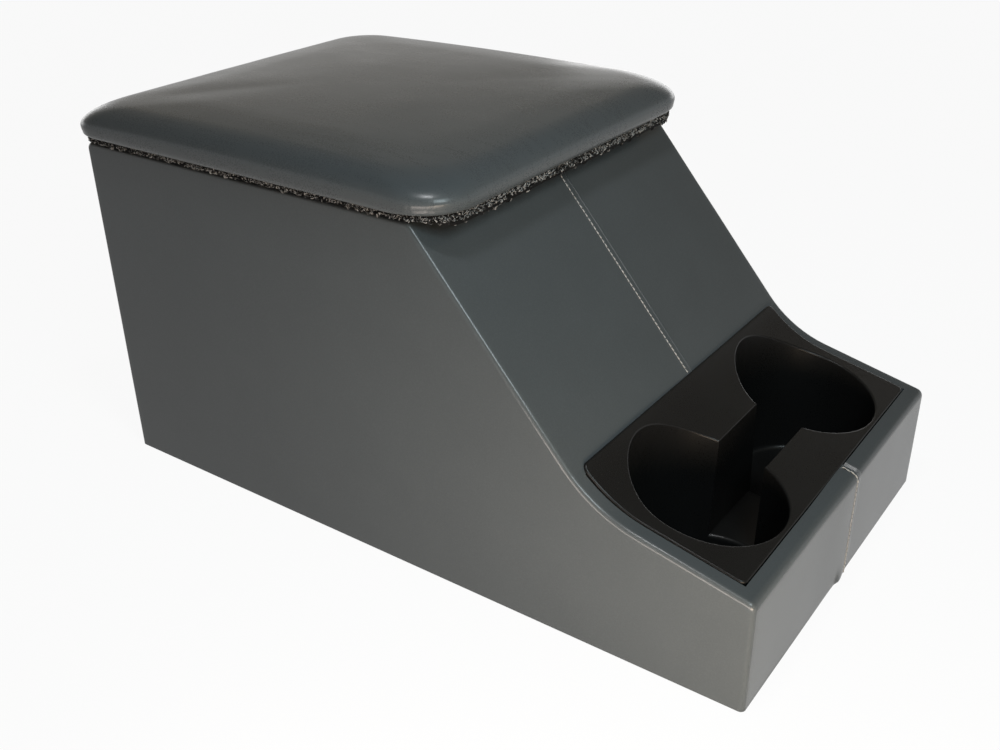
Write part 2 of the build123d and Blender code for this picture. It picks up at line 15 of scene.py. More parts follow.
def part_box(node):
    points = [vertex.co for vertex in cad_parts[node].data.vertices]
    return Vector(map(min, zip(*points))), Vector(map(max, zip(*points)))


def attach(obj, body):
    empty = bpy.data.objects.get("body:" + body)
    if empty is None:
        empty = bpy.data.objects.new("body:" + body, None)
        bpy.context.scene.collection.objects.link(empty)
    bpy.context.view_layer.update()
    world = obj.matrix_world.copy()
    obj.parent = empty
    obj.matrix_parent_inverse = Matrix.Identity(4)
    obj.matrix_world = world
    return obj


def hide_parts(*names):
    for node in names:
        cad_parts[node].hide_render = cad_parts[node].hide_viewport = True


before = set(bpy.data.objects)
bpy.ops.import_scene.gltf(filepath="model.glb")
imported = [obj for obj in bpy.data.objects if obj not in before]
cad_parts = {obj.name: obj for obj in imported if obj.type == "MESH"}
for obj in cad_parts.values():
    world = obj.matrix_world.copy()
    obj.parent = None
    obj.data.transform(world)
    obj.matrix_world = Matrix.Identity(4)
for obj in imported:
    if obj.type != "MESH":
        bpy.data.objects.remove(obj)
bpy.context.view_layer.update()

# Looks of a car centre armrest: vinyl covers over a board box, a padded lid, looped carpet, a moulded
# cup tray and a piano hinge. Metres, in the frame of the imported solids.

LOG = logging.getLogger("armrest")
MM = 0.001
MERGE = 1e-6

Colour = tuple[float, float, float]
Point = tuple[float, float, float]
FaceTest = Callable[[bmesh.types.BMFace], bool]

WHITE: Colour = (1.0, 1.0, 1.0)


class Body(Enum):
    """The two bodies that a piece can ride on."""

    BOX = "box"
    LID = "lid"


class Slot(Enum):
    """The record's material slots for the pieces made here; no piece is given one here."""

    VINYL = "vinyl"
    LID_CARPET = "lid_carpet"
    BIN_CARPET = "bin_carpet"
    SCREW = "screw_steel"


class Side(Enum):
    """The side of the box that a cover wraps."""

    LEFT = "left"
    RIGHT = "right"


class Axis(Enum):
    """A coordinate axis, by its index."""

    X = 0
    Y = 1
    Z = 2


# Node trees

class NodeGraph:
    """A node tree that is filled through one method."""

    # Sockets of a Mix node, for colours
    MIX_SHARE, MIX_FIRST, MIX_SECOND, MIX_RESULT = 0, 6, 7, 2

    def __init__(self, tree: bpy.types.NodeTree) -> None:
        """Take over a tree and empty it."""
        self.tree = tree
        tree.nodes.clear()

    def node(
        self,
        kind: str,
        settings: Mapping[str, Any] | None = None,
        inputs: Mapping[str | int, Any] | None = None,
    ) -> bpy.types.Node:
        """Add a node.

        Args:
            kind: The node's type name.
            settings: Properties that are set first; "stops" fills a colour ramp.
            inputs: Plain values, Values, or nodes for their first output, by a socket's name or index.

        Returns:
            The new node.
        """
        made = self.tree.nodes.new(kind)
        for name, value in (settings or {}).items():
            if name == "stops":
                self._fill_ramp(made.color_ramp, value)
            else:
                setattr(made, name, value)
        for key, value in (inputs or {}).items():
            socket = made.inputs[key] if isinstance(key, int) else self._named(made.inputs, key)
            if isinstance(value, bpy.types.Node):
                value = self.out(value)
            if isinstance(value, Value):
                self.tree.links.new(value.socket, socket)
            else:
                socket.default_value = value
        return made

    def out(self, made: bpy.types.Node, name: str | int = 0) -> "Value":
        """Wrap a node's output, by its name or index."""
        socket = made.outputs[name] if isinstance(name, int) else self._named(made.outputs, name)
        return Value(self, socket)

    def mix(self, share: "Value | float", first: "Colour | Value", second: "Colour | Value") -> "Value":
        """Blend two colours.

        Args:
            share: The second colour's share, from 0 to 1.
            first: The colour at 0.
            second: The colour at 1.

        Returns:
            The blend.
        """
        ends = [end if isinstance(end, Value) else (*end, 1.0) for end in (first, second)]
        inputs = {self.MIX_SHARE: share, self.MIX_FIRST: ends[0], self.MIX_SECOND: ends[1]}
        return self.out(self.node("ShaderNodeMix", {"data_type": "RGBA"}, inputs), self.MIX_RESULT)

    def seen_rays(self) -> "Value":
        """Tell the rays that show the background: from the camera, a glossy surface or glass.

        Returns:
            1 for such rays, and 0 for the others.
        """
        path = self.node("ShaderNodeLightPath")
        names = ("Is Camera Ray", "Is Glossy Ray", "Is Transmission Ray")
        camera, glossy, clear = (self.out(path, name) for name in names)
        return camera.math("MAXIMUM", glossy).math("MAXIMUM", clear)

    @staticmethod
    def _named(sockets: Iterable[bpy.types.NodeSocket], name: str) -> bpy.types.NodeSocket:
        """Find the socket of that name that is in use."""
        return next(socket for socket in sockets if socket.name == name and socket.enabled)

    @staticmethod
    def _fill_ramp(ramp: bpy.types.ColorRamp, stops: Sequence[tuple[float, Colour]]) -> None:
        """Set a ramp's stops.

        Args:
            ramp: The ramp.
            stops: Each stop's place and colour.
        """
        while len(ramp.elements) < len(stops):
            ramp.elements.new(1.0)
        for element, (place, colour) in zip(ramp.elements, stops):
            element.position = place
            element.color = (*colour, 1.0)


class Value:
    """A socket with arithmetic: each operator adds a Math node."""

    def __init__(self, graph: NodeGraph, socket: bpy.types.NodeSocket) -> None:
        """Wrap a socket of a graph."""
        self.graph = graph
        self.socket = socket

    def math(self, operation: str, *others: "Value | float") -> "Value":
        """Add a Math node on this value and others.

        Args:
            operation: The Math node's operation.
            others: The node's further inputs.

        Returns:
            The node's result.
        """
        inputs = dict(enumerate((self, *others)))
        return self.graph.out(self.graph.node("ShaderNodeMath", {"operation": operation}, inputs))

    def __add__(self, other: "Value | float") -> "Value":
        """Sum."""
        return self.math("ADD", other)

    def __sub__(self, other: "Value | float") -> "Value":
        """Difference."""
        return self.math("SUBTRACT", other)

    def __rsub__(self, other: float) -> "Value":
        """A number less this value."""
        return self.math("MULTIPLY_ADD", -1.0, other)

    def __mul__(self, other: "Value | float") -> "Value":
        """Product."""
        return self.math("MULTIPLY", other)

    __radd__ = __add__
    __rmul__ = __mul__


class MaterialGraph(NodeGraph):
    """A material's node tree, with the textures that the finishes share."""

    def __init__(self, name: str) -> None:
        """Start a material.

        Args:
            name: The material's name.
        """
        self.material = bpy.data.materials.new(name)
        self.material.use_nodes = True
        super().__init__(self.material.node_tree)
        self.place = self.out(self.node("ShaderNodeTexCoord"), "Object")

    def stretched(self, scale: Point) -> Value:
        """Object coordinates, scaled along each axis."""
        return self.out(self.node("ShaderNodeMapping", inputs={"Vector": self.place, "Scale": scale}))

    def noise(self, scale: float, detail: float = 2.0, at: Value | None = None) -> Value:
        """Soft noise from 0 to 1.

        Args:
            scale: Cells per metre.
            detail: Octaves of finer noise.
            at: Coordinates, or None for the object's own.

        Returns:
            The noise value.
        """
        inputs = {"Vector": at or self.place, "Scale": scale, "Detail": detail}
        return self.out(self.node("ShaderNodeTexNoise", inputs=inputs))

    def cells(self, scale: float) -> Value:
        """Smooth distance to the nearest of scattered points, with scale points per metre."""
        inputs = {"Vector": self.place, "Scale": scale}
        return self.out(self.node("ShaderNodeTexVoronoi", {"feature": "SMOOTH_F1"}, inputs), "Distance")

    def bump(self, height: Value, depth: float) -> Value:
        """A normal from a height of 0 to 1 that stands for depth metres."""
        return self.out(self.node("ShaderNodeBump", inputs={"Height": height, "Distance": depth}))

    def surface(self, shader: bpy.types.Node) -> bpy.types.Material:
        """Finish the material with a shader node."""
        self.node("ShaderNodeOutputMaterial", inputs={"Surface": shader})
        return self.material

    def principled(self, **inputs: Any) -> bpy.types.Material:
        """Finish the material with a Principled shader.

        Args:
            inputs: Its sockets' values or links, with _ for a space in a name.

        Returns:
            The material.
        """
        named = {name.replace("_", " "): value for name, value in inputs.items()}
        return self.surface(self.node("ShaderNodeBsdfPrincipled", inputs=named))


# Finishes

@dataclass(frozen=True)
class Vinyl:
    """Upholstery vinyl with a fine pressed grain, and streaks where it is stretched."""

    name: str = "vinyl_slate"
    dark: Colour = (0.034, 0.039, 0.041)
    light: Colour = (0.049, 0.056, 0.059)
    rough: float = 0.22
    rough_change: float = 0.05
    gloss: float = 0.22
    grain: float = 1300.0
    grain_depth: float = 0.000016
    pores_per_grain: float = 2.1
    blotches: float = 26.0
    streak: float = 0.0
    streak_cells: Point = (210.0, 34.0, 120.0)

    def material(self) -> bpy.types.Material:
        """Make the vinyl's material.

        Returns:
            The material.
        """
        graph = MaterialGraph(self.name)
        cells = graph.cells(self.grain)
        pores = graph.noise(self.grain * self.pores_per_grain, 1.0)
        mottle = graph.noise(self.blotches, 4.0)
        drawn = graph.noise(1.0, 3.0, graph.stretched(self.streak_cells))
        tone = mottle * 0.35 + cells * 0.5 + (drawn - 0.5) * self.streak
        blotched = (mottle - 0.5) * self.rough_change
        streaked = (drawn - 0.5) * (self.streak * 0.1)
        return graph.principled(
            Base_Color=graph.mix(tone, self.dark, self.light),
            Roughness=blotched + streaked + cells * self.rough_change + self.rough,
            Normal=graph.bump(cells * 0.75 + pores * 0.4, self.grain_depth),
            Specular_IOR_Level=self.gloss,
        )


@dataclass(frozen=True)
class TrayPlastic:
    """Black moulded plastic with a spark-eroded texture."""

    name: str = "tray_black"
    dark: Colour = (0.003, 0.003, 0.003)
    light: Colour = (0.007, 0.007, 0.0068)
    rough: float = 0.3
    gloss: float = 0.15
    texture: float = 1500.0
    texture_depth: float = 0.00002
    flow_marks: float = 18.0

    def material(self) -> bpy.types.Material:
        """Make the plastic's material.

        Returns:
            The material.
        """
        graph = MaterialGraph(self.name)
        pits = graph.noise(self.texture, 3.0)
        flow = graph.noise(self.flow_marks, 3.0)
        return graph.principled(
            Base_Color=graph.mix(flow * 0.7 + pits * 0.3, self.dark, self.light),
            Roughness=(flow - 0.5) * 0.12 + (pits - 0.5) * 0.16 + self.rough,
            Normal=graph.bump(pits, self.texture_depth),
            Specular_IOR_Level=self.gloss,
        )


@dataclass(frozen=True)
class Yarn:
    """Carpet yarn whose tone changes from one tuft to the next; its pale tufts are partly a lighter yarn
    and partly a painted highlight for the glint off the loops' tips.
    """

    name: str = "carpet_yarn"
    # Black also colours the backing, whose band under the lid's front edge is painted shadow.
    black: Colour = (0.003, 0.003, 0.003)
    grey: Colour = (0.05, 0.05, 0.049)
    # Pale stop: partly a lighter yarn, partly a painted highlight for glinting loop tips.
    pale_and_glint: Colour = (0.38, 0.38, 0.372)
    black_to: float = 0.33
    grey_at: float = 0.55
    rough: float = 0.62
    gloss: float = 0.08
    plies: float = 2600.0
    ply_depth: float = 0.0001

    def material(self) -> bpy.types.Material:
        """Make the yarn's material.

        Returns:
            The material.
        """
        graph = MaterialGraph(self.name)
        tone = graph.out(graph.node("ShaderNodeAttribute", {"attribute_name": PileTree.TONE}), "Fac")
        black, grey = (self.black_to, self.black), (self.grey_at, self.grey)
        # The pale end of the ramp is partly a painted highlight, for glinting loop tips.
        stops = ((0.0, self.black), black, grey, (1.0, self.pale_and_glint))
        plies = graph.noise(self.plies)
        ramp = graph.out(graph.node("ShaderNodeValToRGB", {"stops": stops}, {0: tone}))
        return graph.principled(
            Base_Color=graph.mix(plies * 0.5, ramp, self.black),
            Roughness=plies * 0.2 + self.rough,
            Normal=graph.bump(plies, self.ply_depth),
            Specular_IOR_Level=self.gloss,
        )


@dataclass(frozen=True)
class Thread:
    """Pale sewing thread."""

    name: str = "thread_cream"
    shade: Colour = (0.13, 0.127, 0.12)
    light: Colour = (0.3, 0.293, 0.28)
    rough: float = 0.5
    fibres: float = 5200.0
    fibre_depth: float = 0.00006

    def material(self) -> bpy.types.Material:
        """Make the thread's material.

        Returns:
            The material.
        """
        graph = MaterialGraph(self.name)
        fibres = graph.noise(self.fibres)
        return graph.principled(
            Base_Color=graph.mix(fibres, self.shade, self.light),
            Roughness=fibres * 0.2 + self.rough,
            Normal=graph.bump(fibres, self.fibre_depth),
        )


@dataclass(frozen=True)
class Steel:
    """Plated steel with drawn lines along X."""

    name: str = "steel_plated"
    dark: Colour = (0.4, 0.4, 0.39)
    light: Colour = (0.58, 0.58, 0.57)
    rough: float = 0.18
    line_cells: Point = (30.0, 2400.0, 2400.0)
    line_depth: float = 0.00002
    blotches: float = 70.0

    def material(self) -> bpy.types.Material:
        """Make the steel's material.

        Returns:
            The material.
        """
        graph = MaterialGraph(self.name)
        lines = graph.noise(1.0, 3.0, graph.stretched(self.line_cells))
        blotch = graph.noise(self.blotches, 3.0)
        return graph.principled(
            Base_Color=graph.mix(blotch * 0.6 + lines * 0.4, self.dark, self.light),
            Roughness=lines * 0.16 + blotch * 0.1 + self.rough,
            Normal=graph.bump(lines, self.line_depth),
            Metallic=1.0,
        )


@dataclass(frozen=True)
class Board:
    """Raw board: pressed fibre, or softwood where its grain is drawn out."""

    name: str = "fibreboard"
    dark: Colour = (0.24, 0.15, 0.075)
    light: Colour = (0.44, 0.31, 0.18)
    fibre_cells: Point = (420.0, 420.0, 420.0)
    fibre_depth: float = 0.00025
    clouds: float = 22.0
    rough: float = 0.66

    def material(self) -> bpy.types.Material:
        """Make the board's material.

        Returns:
            The material.
        """
        graph = MaterialGraph(self.name)
        fibre = graph.noise(1.0, 5.0, graph.stretched(self.fibre_cells))
        cloud = graph.noise(self.clouds, 3.0)
        return graph.principled(
            Base_Color=graph.mix(fibre * 0.75 + cloud * 0.25, self.dark, self.light),
            Roughness=fibre * 0.2 + self.rough,
            Normal=graph.bump(fibre, self.fibre_depth),
        )


@dataclass(frozen=True)
class StudioFloor:
    """Grey paper: it takes the object's shadow, and is nearly white where the camera sees it."""

    name: str = "studio_paper"
    paper: Colour = (0.5, 0.5, 0.49)
    fleck: Colour = (0.8, 0.8, 0.8)
    fleck_share: float = 0.06
    flecks: float = 40.0
    clear: float = 0.94

    def material(self) -> bpy.types.Material:
        """Make the paper's material.

        Returns:
            The material.
        """
        graph = MaterialGraph(self.name)
        colour = graph.mix(graph.noise(self.flecks) * self.fleck_share, self.paper, self.fleck)
        paper = graph.node("ShaderNodeBsdfDiffuse", inputs={"Color": colour})
        glow = graph.node("ShaderNodeEmission", inputs={"Color": (*WHITE, 1.0), "Strength": 1.0})
        seen = graph.seen_rays() * self.clear
        return graph.surface(graph.node("ShaderNodeMixShader", inputs={0: seen, 1: paper, 2: glow}))


# Mesh tools

def new_object(name: str, mesh: bpy.types.Mesh) -> bpy.types.Object:
    """Put a mesh in the scene, at the origin.

    Args:
        name: The object's name.
        mesh: The mesh.

    Returns:
        The object.
    """
    made = bpy.data.objects.new(name, mesh)
    bpy.context.scene.collection.objects.link(made)
    return made


def mesh_from(name: str, bm: bmesh.types.BMesh, sharp_from: float = 40.0) -> bpy.types.Mesh:
    """Turn a bmesh into a smooth-shaded mesh.

    Args:
        name: The mesh's name.
        bm: The bmesh, which is freed.
        sharp_from: Edges that turn by more degrees than this stay sharp.

    Returns:
        The mesh.
    """
    mesh = bpy.data.meshes.new(name)
    bm.to_mesh(mesh)
    bm.free()
    spare = mesh.attributes.get("custom_normal")
    if spare:
        mesh.attributes.remove(spare)
    mesh.materials.clear()
    mesh.shade_smooth()
    mesh.set_sharp_from_angle(angle=math.radians(sharp_from))
    return mesh


def evaluated_mesh(piece: bpy.types.Object) -> bpy.types.Mesh:
    """A new mesh of what a piece's modifiers make."""
    return bpy.data.meshes.new_from_object(piece.evaluated_get(bpy.context.evaluated_depsgraph_get()))


def node_copy(node: str) -> bmesh.types.BMesh:
    """Copy a CAD node's mesh, with its loose triangles merged.

    Args:
        node: The node's name.

    Returns:
        The copy.
    """
    bm = bmesh.new()
    bm.from_mesh(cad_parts[node].data)
    bmesh.ops.remove_doubles(bm, verts=bm.verts[:], dist=MERGE)
    return bm


def slice_mesh(bm: bmesh.types.BMesh, axis: Axis, places: Iterable[float]) -> None:
    """Cut a mesh into strips by planes square to an axis.

    Args:
        bm: The mesh.
        axis: The axis.
        places: Where the planes stand along it.
    """
    normal = Vector((0.0, 0.0, 0.0))
    normal[axis.value] = 1.0
    for place in places:
        geometry = [*bm.verts, *bm.edges, *bm.faces]
        bmesh.ops.bisect_plane(bm, geom=geometry, dist=MERGE, plane_co=normal * place, plane_no=normal)


def skin_rings(bm: bmesh.types.BMesh, rings: Sequence[Sequence[bmesh.types.BMVert]]) -> None:
    """Join closed rings of points, each to the next, with four-sided faces.

    Args:
        bm: The mesh.
        rings: The rings, all with the same number of points.
    """
    for first, second in zip(rings, rings[1:]):
        for k in range(len(first)):
            follows = (k + 1) % len(first)
            bm.faces.new((first[k], first[follows], second[follows], second[k]))


def point_rows(mesh: bpy.types.Mesh, name: str) -> np.ndarray:
    """A vector of each of a mesh's points.

    Args:
        mesh: The mesh.
        name: The vector's property name.

    Returns:
        One row for each point.
    """
    flat = np.empty(len(mesh.vertices) * 3)
    mesh.vertices.foreach_get(name, flat)
    return flat.reshape(-1, 3)


def coordinates(mesh: bpy.types.Mesh) -> np.ndarray:
    """A mesh's points, one row each."""
    return point_rows(mesh, "co")


def normals(mesh: bpy.types.Mesh) -> np.ndarray:
    """A mesh's point normals, one row each."""
    return point_rows(mesh, "normal")


def set_coordinates(mesh: bpy.types.Mesh, points: np.ndarray) -> None:
    """Move a mesh's points."""
    mesh.vertices.foreach_set("co", points.ravel())
    mesh.update()


def evened(mesh: bpy.types.Mesh, values: np.ndarray, rounds: int) -> np.ndarray:
    """Even out a vector at each point of a mesh with those of its neighbours.

    Args:
        mesh: The mesh, whose edges tell which points are neighbours.
        values: One row for each point.
        rounds: How many times each row moves halfway to its neighbours' mean.

    Returns:
        The evened rows.
    """
    flat = np.empty(len(mesh.edges) * 2, dtype=np.int64)
    mesh.edges.foreach_get("vertices", flat)
    ends = np.r_[flat[0::2], flat[1::2]]
    others = np.r_[flat[1::2], flat[0::2]]
    count = np.bincount(ends, minlength=len(values))[:, None]
    for _ in range(rounds):
        total = np.zeros_like(values)
        np.add.at(total, ends, values[others])
        values = (values + total / count) / 2
    return values


def ripple(points: np.ndarray, wave: float) -> np.ndarray:
    """Smooth noise from about -1 to 1 at each point, with waves that long."""
    return np.array([noise.noise(Vector(point) / wave) for point in points])


def smoothstep(low: float, high: float, at: np.ndarray) -> np.ndarray:
    """0 before low, 1 after high, and an even S between."""
    share = np.clip((at - low) / (high - low), 0.0, 1.0)
    return share * share * (3.0 - 2.0 * share)


def tree_of(nodes: Iterable[str]) -> BVHTree:
    """A search tree over several CAD nodes.

    Args:
        nodes: The nodes' names.

    Returns:
        The tree.
    """
    points: list[Vector] = []
    faces: list[list[int]] = []
    for node in nodes:
        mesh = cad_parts[node].data
        start = len(points)
        points.extend(vertex.co.copy() for vertex in mesh.vertices)
        faces.extend([start + index for index in face.vertices] for face in mesh.polygons)
    return BVHTree.FromPolygons(points, faces)


def dress(piece: bpy.types.Object, material: bpy.types.Material) -> bpy.types.Object:
    """Give a piece one material.

    Args:
        piece: The piece.
        material: The material.

    Returns:
        The piece.
    """
    piece.data.materials.clear()
    piece.data.materials.append(material)
    return piece


def fit(
    piece: bpy.types.Object, body: Body, stands_for: Sequence[str] = ()
) -> bpy.types.Object:
    """Fix a finished piece to the frame.

    Args:
        piece: The piece, in place.
        body: The body that it rides on.
        stands_for: The CAD nodes that it replaces.

    Returns:
        The piece.
    """
    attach(piece, body.value)
    if stands_for:
        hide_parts(*stands_for)
    LOG.info("%s: %d faces on %s", piece.name, len(piece.data.polygons), body.value)
    return piece


def dress_nodes(nodes: Iterable[str], material: bpy.types.Material) -> None:
    """Give CAD nodes that stay as they are a material.

    Args:
        nodes: The nodes' names.
        material: The material.
    """
    for node in nodes:
        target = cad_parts[node]
        for index in range(len(target.material_slots)):
            target.material_slots[index].material = material
        LOG.info("%s: CAD node in %s", node, material.name)


# Geometry Nodes

class GeometryGraph(NodeGraph):
    """A Geometry Nodes tree with named inputs, which ends in Realize Instances and Set Material."""

    # Sockets of a Random Value node, for numbers
    RANDOM_LOW, RANDOM_HIGH, RANDOM_SEED, RANDOM_RESULT = 2, 3, 8, 1

    def __init__(self, name: str) -> None:
        """Start a tree with a geometry going in and one coming out.

        Args:
            name: The tree's name.
        """
        super().__init__(bpy.data.node_groups.new(name, "GeometryNodeTree"))
        self.identifiers: dict[str, str] = {}
        self._socket("Geometry", "NodeSocketGeometry")
        self.tree.interface.new_socket("Geometry", in_out="OUTPUT", socket_type="NodeSocketGeometry")

    def _socket(self, name: str, kind: str) -> None:
        """Add an input to the tree's interface."""
        made = self.tree.interface.new_socket(name, in_out="INPUT", socket_type=kind)
        self.identifiers[name] = made.identifier

    def inputs(self, **kinds: str) -> dict[str, Value]:
        """Add named inputs.

        Args:
            kinds: Each input's name, with _ for a space, and its socket type.

        Returns:
            The inputs' values by name, with the geometry and the material among them.
        """
        for name, kind in {**kinds, "Material": "NodeSocketMaterial"}.items():
            self._socket(name.replace("_", " "), kind)
        entry = self.node("NodeGroupInput")
        return {name.replace(" ", "_"): self.out(entry, name) for name in self.identifiers}

    def random(self, low: float, high: float, seed: int) -> Value:
        """A random number for each point.

        Args:
            low: The least.
            high: The most.
            seed: Which row of random numbers is drawn.

        Returns:
            The number.
        """
        inputs = {self.RANDOM_LOW: low, self.RANDOM_HIGH: high, self.RANDOM_SEED: seed}
        made = self.node("FunctionNodeRandomValue", {"data_type": "FLOAT"}, inputs)
        return self.out(made, self.RANDOM_RESULT)

    def turned(self, rotation: Value, **angles: Value) -> Value:
        """Turn a rotation further, about its own axes.

        Args:
            rotation: The rotation.
            angles: The angle about X, Y or Z.

        Returns:
            The rotation after the turn.
        """
        euler = self.node("ShaderNodeCombineXYZ", inputs=angles)
        turn = self.node("FunctionNodeEulerToRotation", inputs={0: euler})
        inputs = {"Rotation": rotation, "Rotate By": turn}
        return self.out(self.node("FunctionNodeRotateRotation", {"rotation_space": "LOCAL"}, inputs))

    def close(self, geometry: bpy.types.Node, material: Value) -> None:
        """End the tree: real geometry, shaded smooth, in one material.

        Args:
            geometry: The node that gives the geometry.
            material: The material.
        """
        real = self.node("GeometryNodeRealizeInstances", inputs={"Geometry": geometry})
        smooth = self.node("GeometryNodeSetShadeSmooth", inputs={"Geometry": real})
        painted = self.node("GeometryNodeSetMaterial", inputs={"Geometry": smooth, "Material": material})
        self.node("NodeGroupOutput", inputs={"Geometry": painted})

    def grow(self, name: str, base: bpy.types.Mesh, **values: Any) -> bpy.types.Object:
        """Run the tree on a mesh.

        Args:
            name: The new piece's name.
            base: The mesh that goes in.
            values: The tree's inputs by name, with _ for a space.

        Returns:
            The result as a plain mesh object.
        """
        carrier = new_object(name, base)
        modifier = carrier.modifiers.new("grow", "NODES")
        modifier.node_group = self.tree
        for key, value in values.items():
            modifier[self.identifiers[key.replace("_", " ")]] = value
        bpy.context.view_layer.update()
        grown = evaluated_mesh(carrier)
        carrier.modifiers.remove(modifier)
        carrier.data = grown
        grown.name = name
        bpy.data.meshes.remove(base)
        return carrier


@dataclass(frozen=True)
class Tuft:
    """A kind of tuft: an arc of yarn that sweeps that many degrees, so many to the square metre."""

    density: float
    arc_radius: float
    yarn_radius: float
    sweep: float
    lean: float
    seed: int


class PileTree(GeometryGraph):
    """Tufts of yarn, each an arc of tube, scattered over a mesh's faces."""

    TONE = "tone"
    ARC_POINTS = 4
    TUBE_SIDES = 3
    LEAST_SCALE, MOST_SCALE = 0.65, 1.3
    SCALE_SEED, TONE_SEED, LEAN_X_SEED, LEAN_Y_SEED, TURN_SEED = 11, 23, 31, 37, 41

    def __init__(self) -> None:
        """Build the tree."""
        super().__init__("carpet_pile")
        given = self.inputs(
            Density="NodeSocketFloat",
            Arc_Radius="NodeSocketFloat",
            Yarn_Radius="NodeSocketFloat",
            Sweep="NodeSocketFloat",
            Lean="NodeSocketFloat",
            Seed="NodeSocketInt",
        )
        spots = self.node(
            "GeometryNodeDistributePointsOnFaces",
            {"distribute_method": "RANDOM"},
            {"Mesh": given["Geometry"], "Density": given["Density"], "Seed": given["Seed"]},
        )
        turned = self.turned(
            self.out(spots, "Rotation"),
            X=self.random(-1.0, 1.0, self.LEAN_X_SEED) * given["Lean"],
            Y=self.random(-1.0, 1.0, self.LEAN_Y_SEED) * given["Lean"],
            Z=self.random(0.0, math.tau, self.TURN_SEED),
        )
        scale = self.random(self.LEAST_SCALE, self.MOST_SCALE, self.SCALE_SEED)
        placed = self.node(
            "GeometryNodeInstanceOnPoints",
            inputs={"Points": spots, "Instance": self._tuft(given), "Rotation": turned, "Scale": scale},
        )
        toned = self.node(
            "GeometryNodeStoreNamedAttribute",
            {"data_type": "FLOAT", "domain": "INSTANCE"},
            {"Geometry": placed, "Name": self.TONE, "Value": self.random(0.0, 1.0, self.TONE_SEED)},
        )
        self.close(toned, given["Material"])

    def _tuft(self, given: Mapping[str, Value]) -> bpy.types.Node:
        """Make one tuft: an arc of tube that stands on its two ends.

        Args:
            given: The tree's inputs.

        Returns:
            The node that gives the tuft.
        """
        quarter = math.pi / 2
        arc = self.node(
            "GeometryNodeCurveArc",
            inputs={
                "Resolution": self.ARC_POINTS,
                "Radius": given["Arc_Radius"],
                "Start Angle": given["Sweep"].math("MULTIPLY_ADD", -0.5, quarter),
                "Sweep Angle": given["Sweep"],
            },
        )
        ring = self.node(
            "GeometryNodeCurvePrimitiveCircle",
            inputs={"Resolution": self.TUBE_SIDES, "Radius": given["Yarn_Radius"]},
        )
        tube = self.node("GeometryNodeCurveToMesh", inputs={"Curve": arc, "Profile Curve": ring})
        upright = (quarter, 0.0, 0.0)
        return self.node("GeometryNodeTransform", inputs={"Geometry": tube, "Rotation": upright})

    def cover(
        self, name: str, base: bpy.types.Mesh, tuft: Tuft, yarn: bpy.types.Material
    ) -> bpy.types.Object:
        """Cover a mesh's faces with tufts of one kind.

        Args:
            name: The new piece's name.
            base: The mesh.
            tuft: The kind of tuft.
            yarn: The tufts' material.

        Returns:
            The tufts, as one piece.
        """
        return self.grow(
            name,
            base,
            Density=tuft.density,
            Arc_Radius=tuft.arc_radius,
            Yarn_Radius=tuft.yarn_radius,
            Sweep=math.radians(tuft.sweep),
            Lean=tuft.lean,
            Seed=tuft.seed,
            Material=yarn,
        )


class RowTree(GeometryGraph):
    """Copies of one object along a line of edges, their X along the line and their Z off the surface."""

    UP = "surface_up"
    LEAST_SCALE, MOST_SCALE = 0.92, 1.06
    TURN_SEED, SCALE_SEED = 53, 59

    def __init__(self) -> None:
        """Build the tree."""
        super().__init__("sewn_row")
        given = self.inputs(Pitch="NodeSocketFloat", Copy="NodeSocketObject", Wander="NodeSocketFloat")
        curve = self.node("GeometryNodeMeshToCurve", inputs={"Mesh": given["Geometry"]})
        spaced = self.node(
            "GeometryNodeResampleCurve", {"mode": "LENGTH"}, {"Curve": curve, "Length": given["Pitch"]}
        )
        along = self.node(
            "FunctionNodeAlignRotationToVector",
            {"axis": "X"},
            {"Vector": self.node("GeometryNodeInputTangent")},
        )
        up = self.node("GeometryNodeInputNamedAttribute", {"data_type": "FLOAT_VECTOR"}, {"Name": self.UP})
        upright = self.node(
            "FunctionNodeAlignRotationToVector",
            {"axis": "Z", "pivot_axis": "X"},
            {"Rotation": along, "Vector": up},
        )
        wander = self.random(-1.0, 1.0, self.TURN_SEED) * given["Wander"]
        shape = self.node("GeometryNodeObjectInfo", inputs={"Object": given["Copy"]})
        placed = self.node(
            "GeometryNodeInstanceOnPoints",
            inputs={
                "Points": spaced,
                "Instance": self.out(shape, "Geometry"),
                "Rotation": self.turned(self.out(upright), Z=wander),
                "Scale": self.random(self.LEAST_SCALE, self.MOST_SCALE, self.SCALE_SEED),
            },
        )
        self.close(placed, given["Material"])


def line_mesh(name: str, points: Sequence[Vector], ups: Sequence[Vector]) -> bpy.types.Mesh:
    """A line of edges that remembers which way is off the surface.

    Args:
        name: The mesh's name.
        points: The line's points.
        ups: The surface's direction at each point.

    Returns:
        The mesh.
    """
    mesh = bpy.data.meshes.new(name)
    mesh.from_pydata(points, [(i, i + 1) for i in range(len(points) - 1)], [])
    up = mesh.attributes.new(RowTree.UP, "FLOAT_VECTOR", "POINT")
    up.data.foreach_set("vector", np.array(ups).ravel())
    return mesh


# The covers of the box

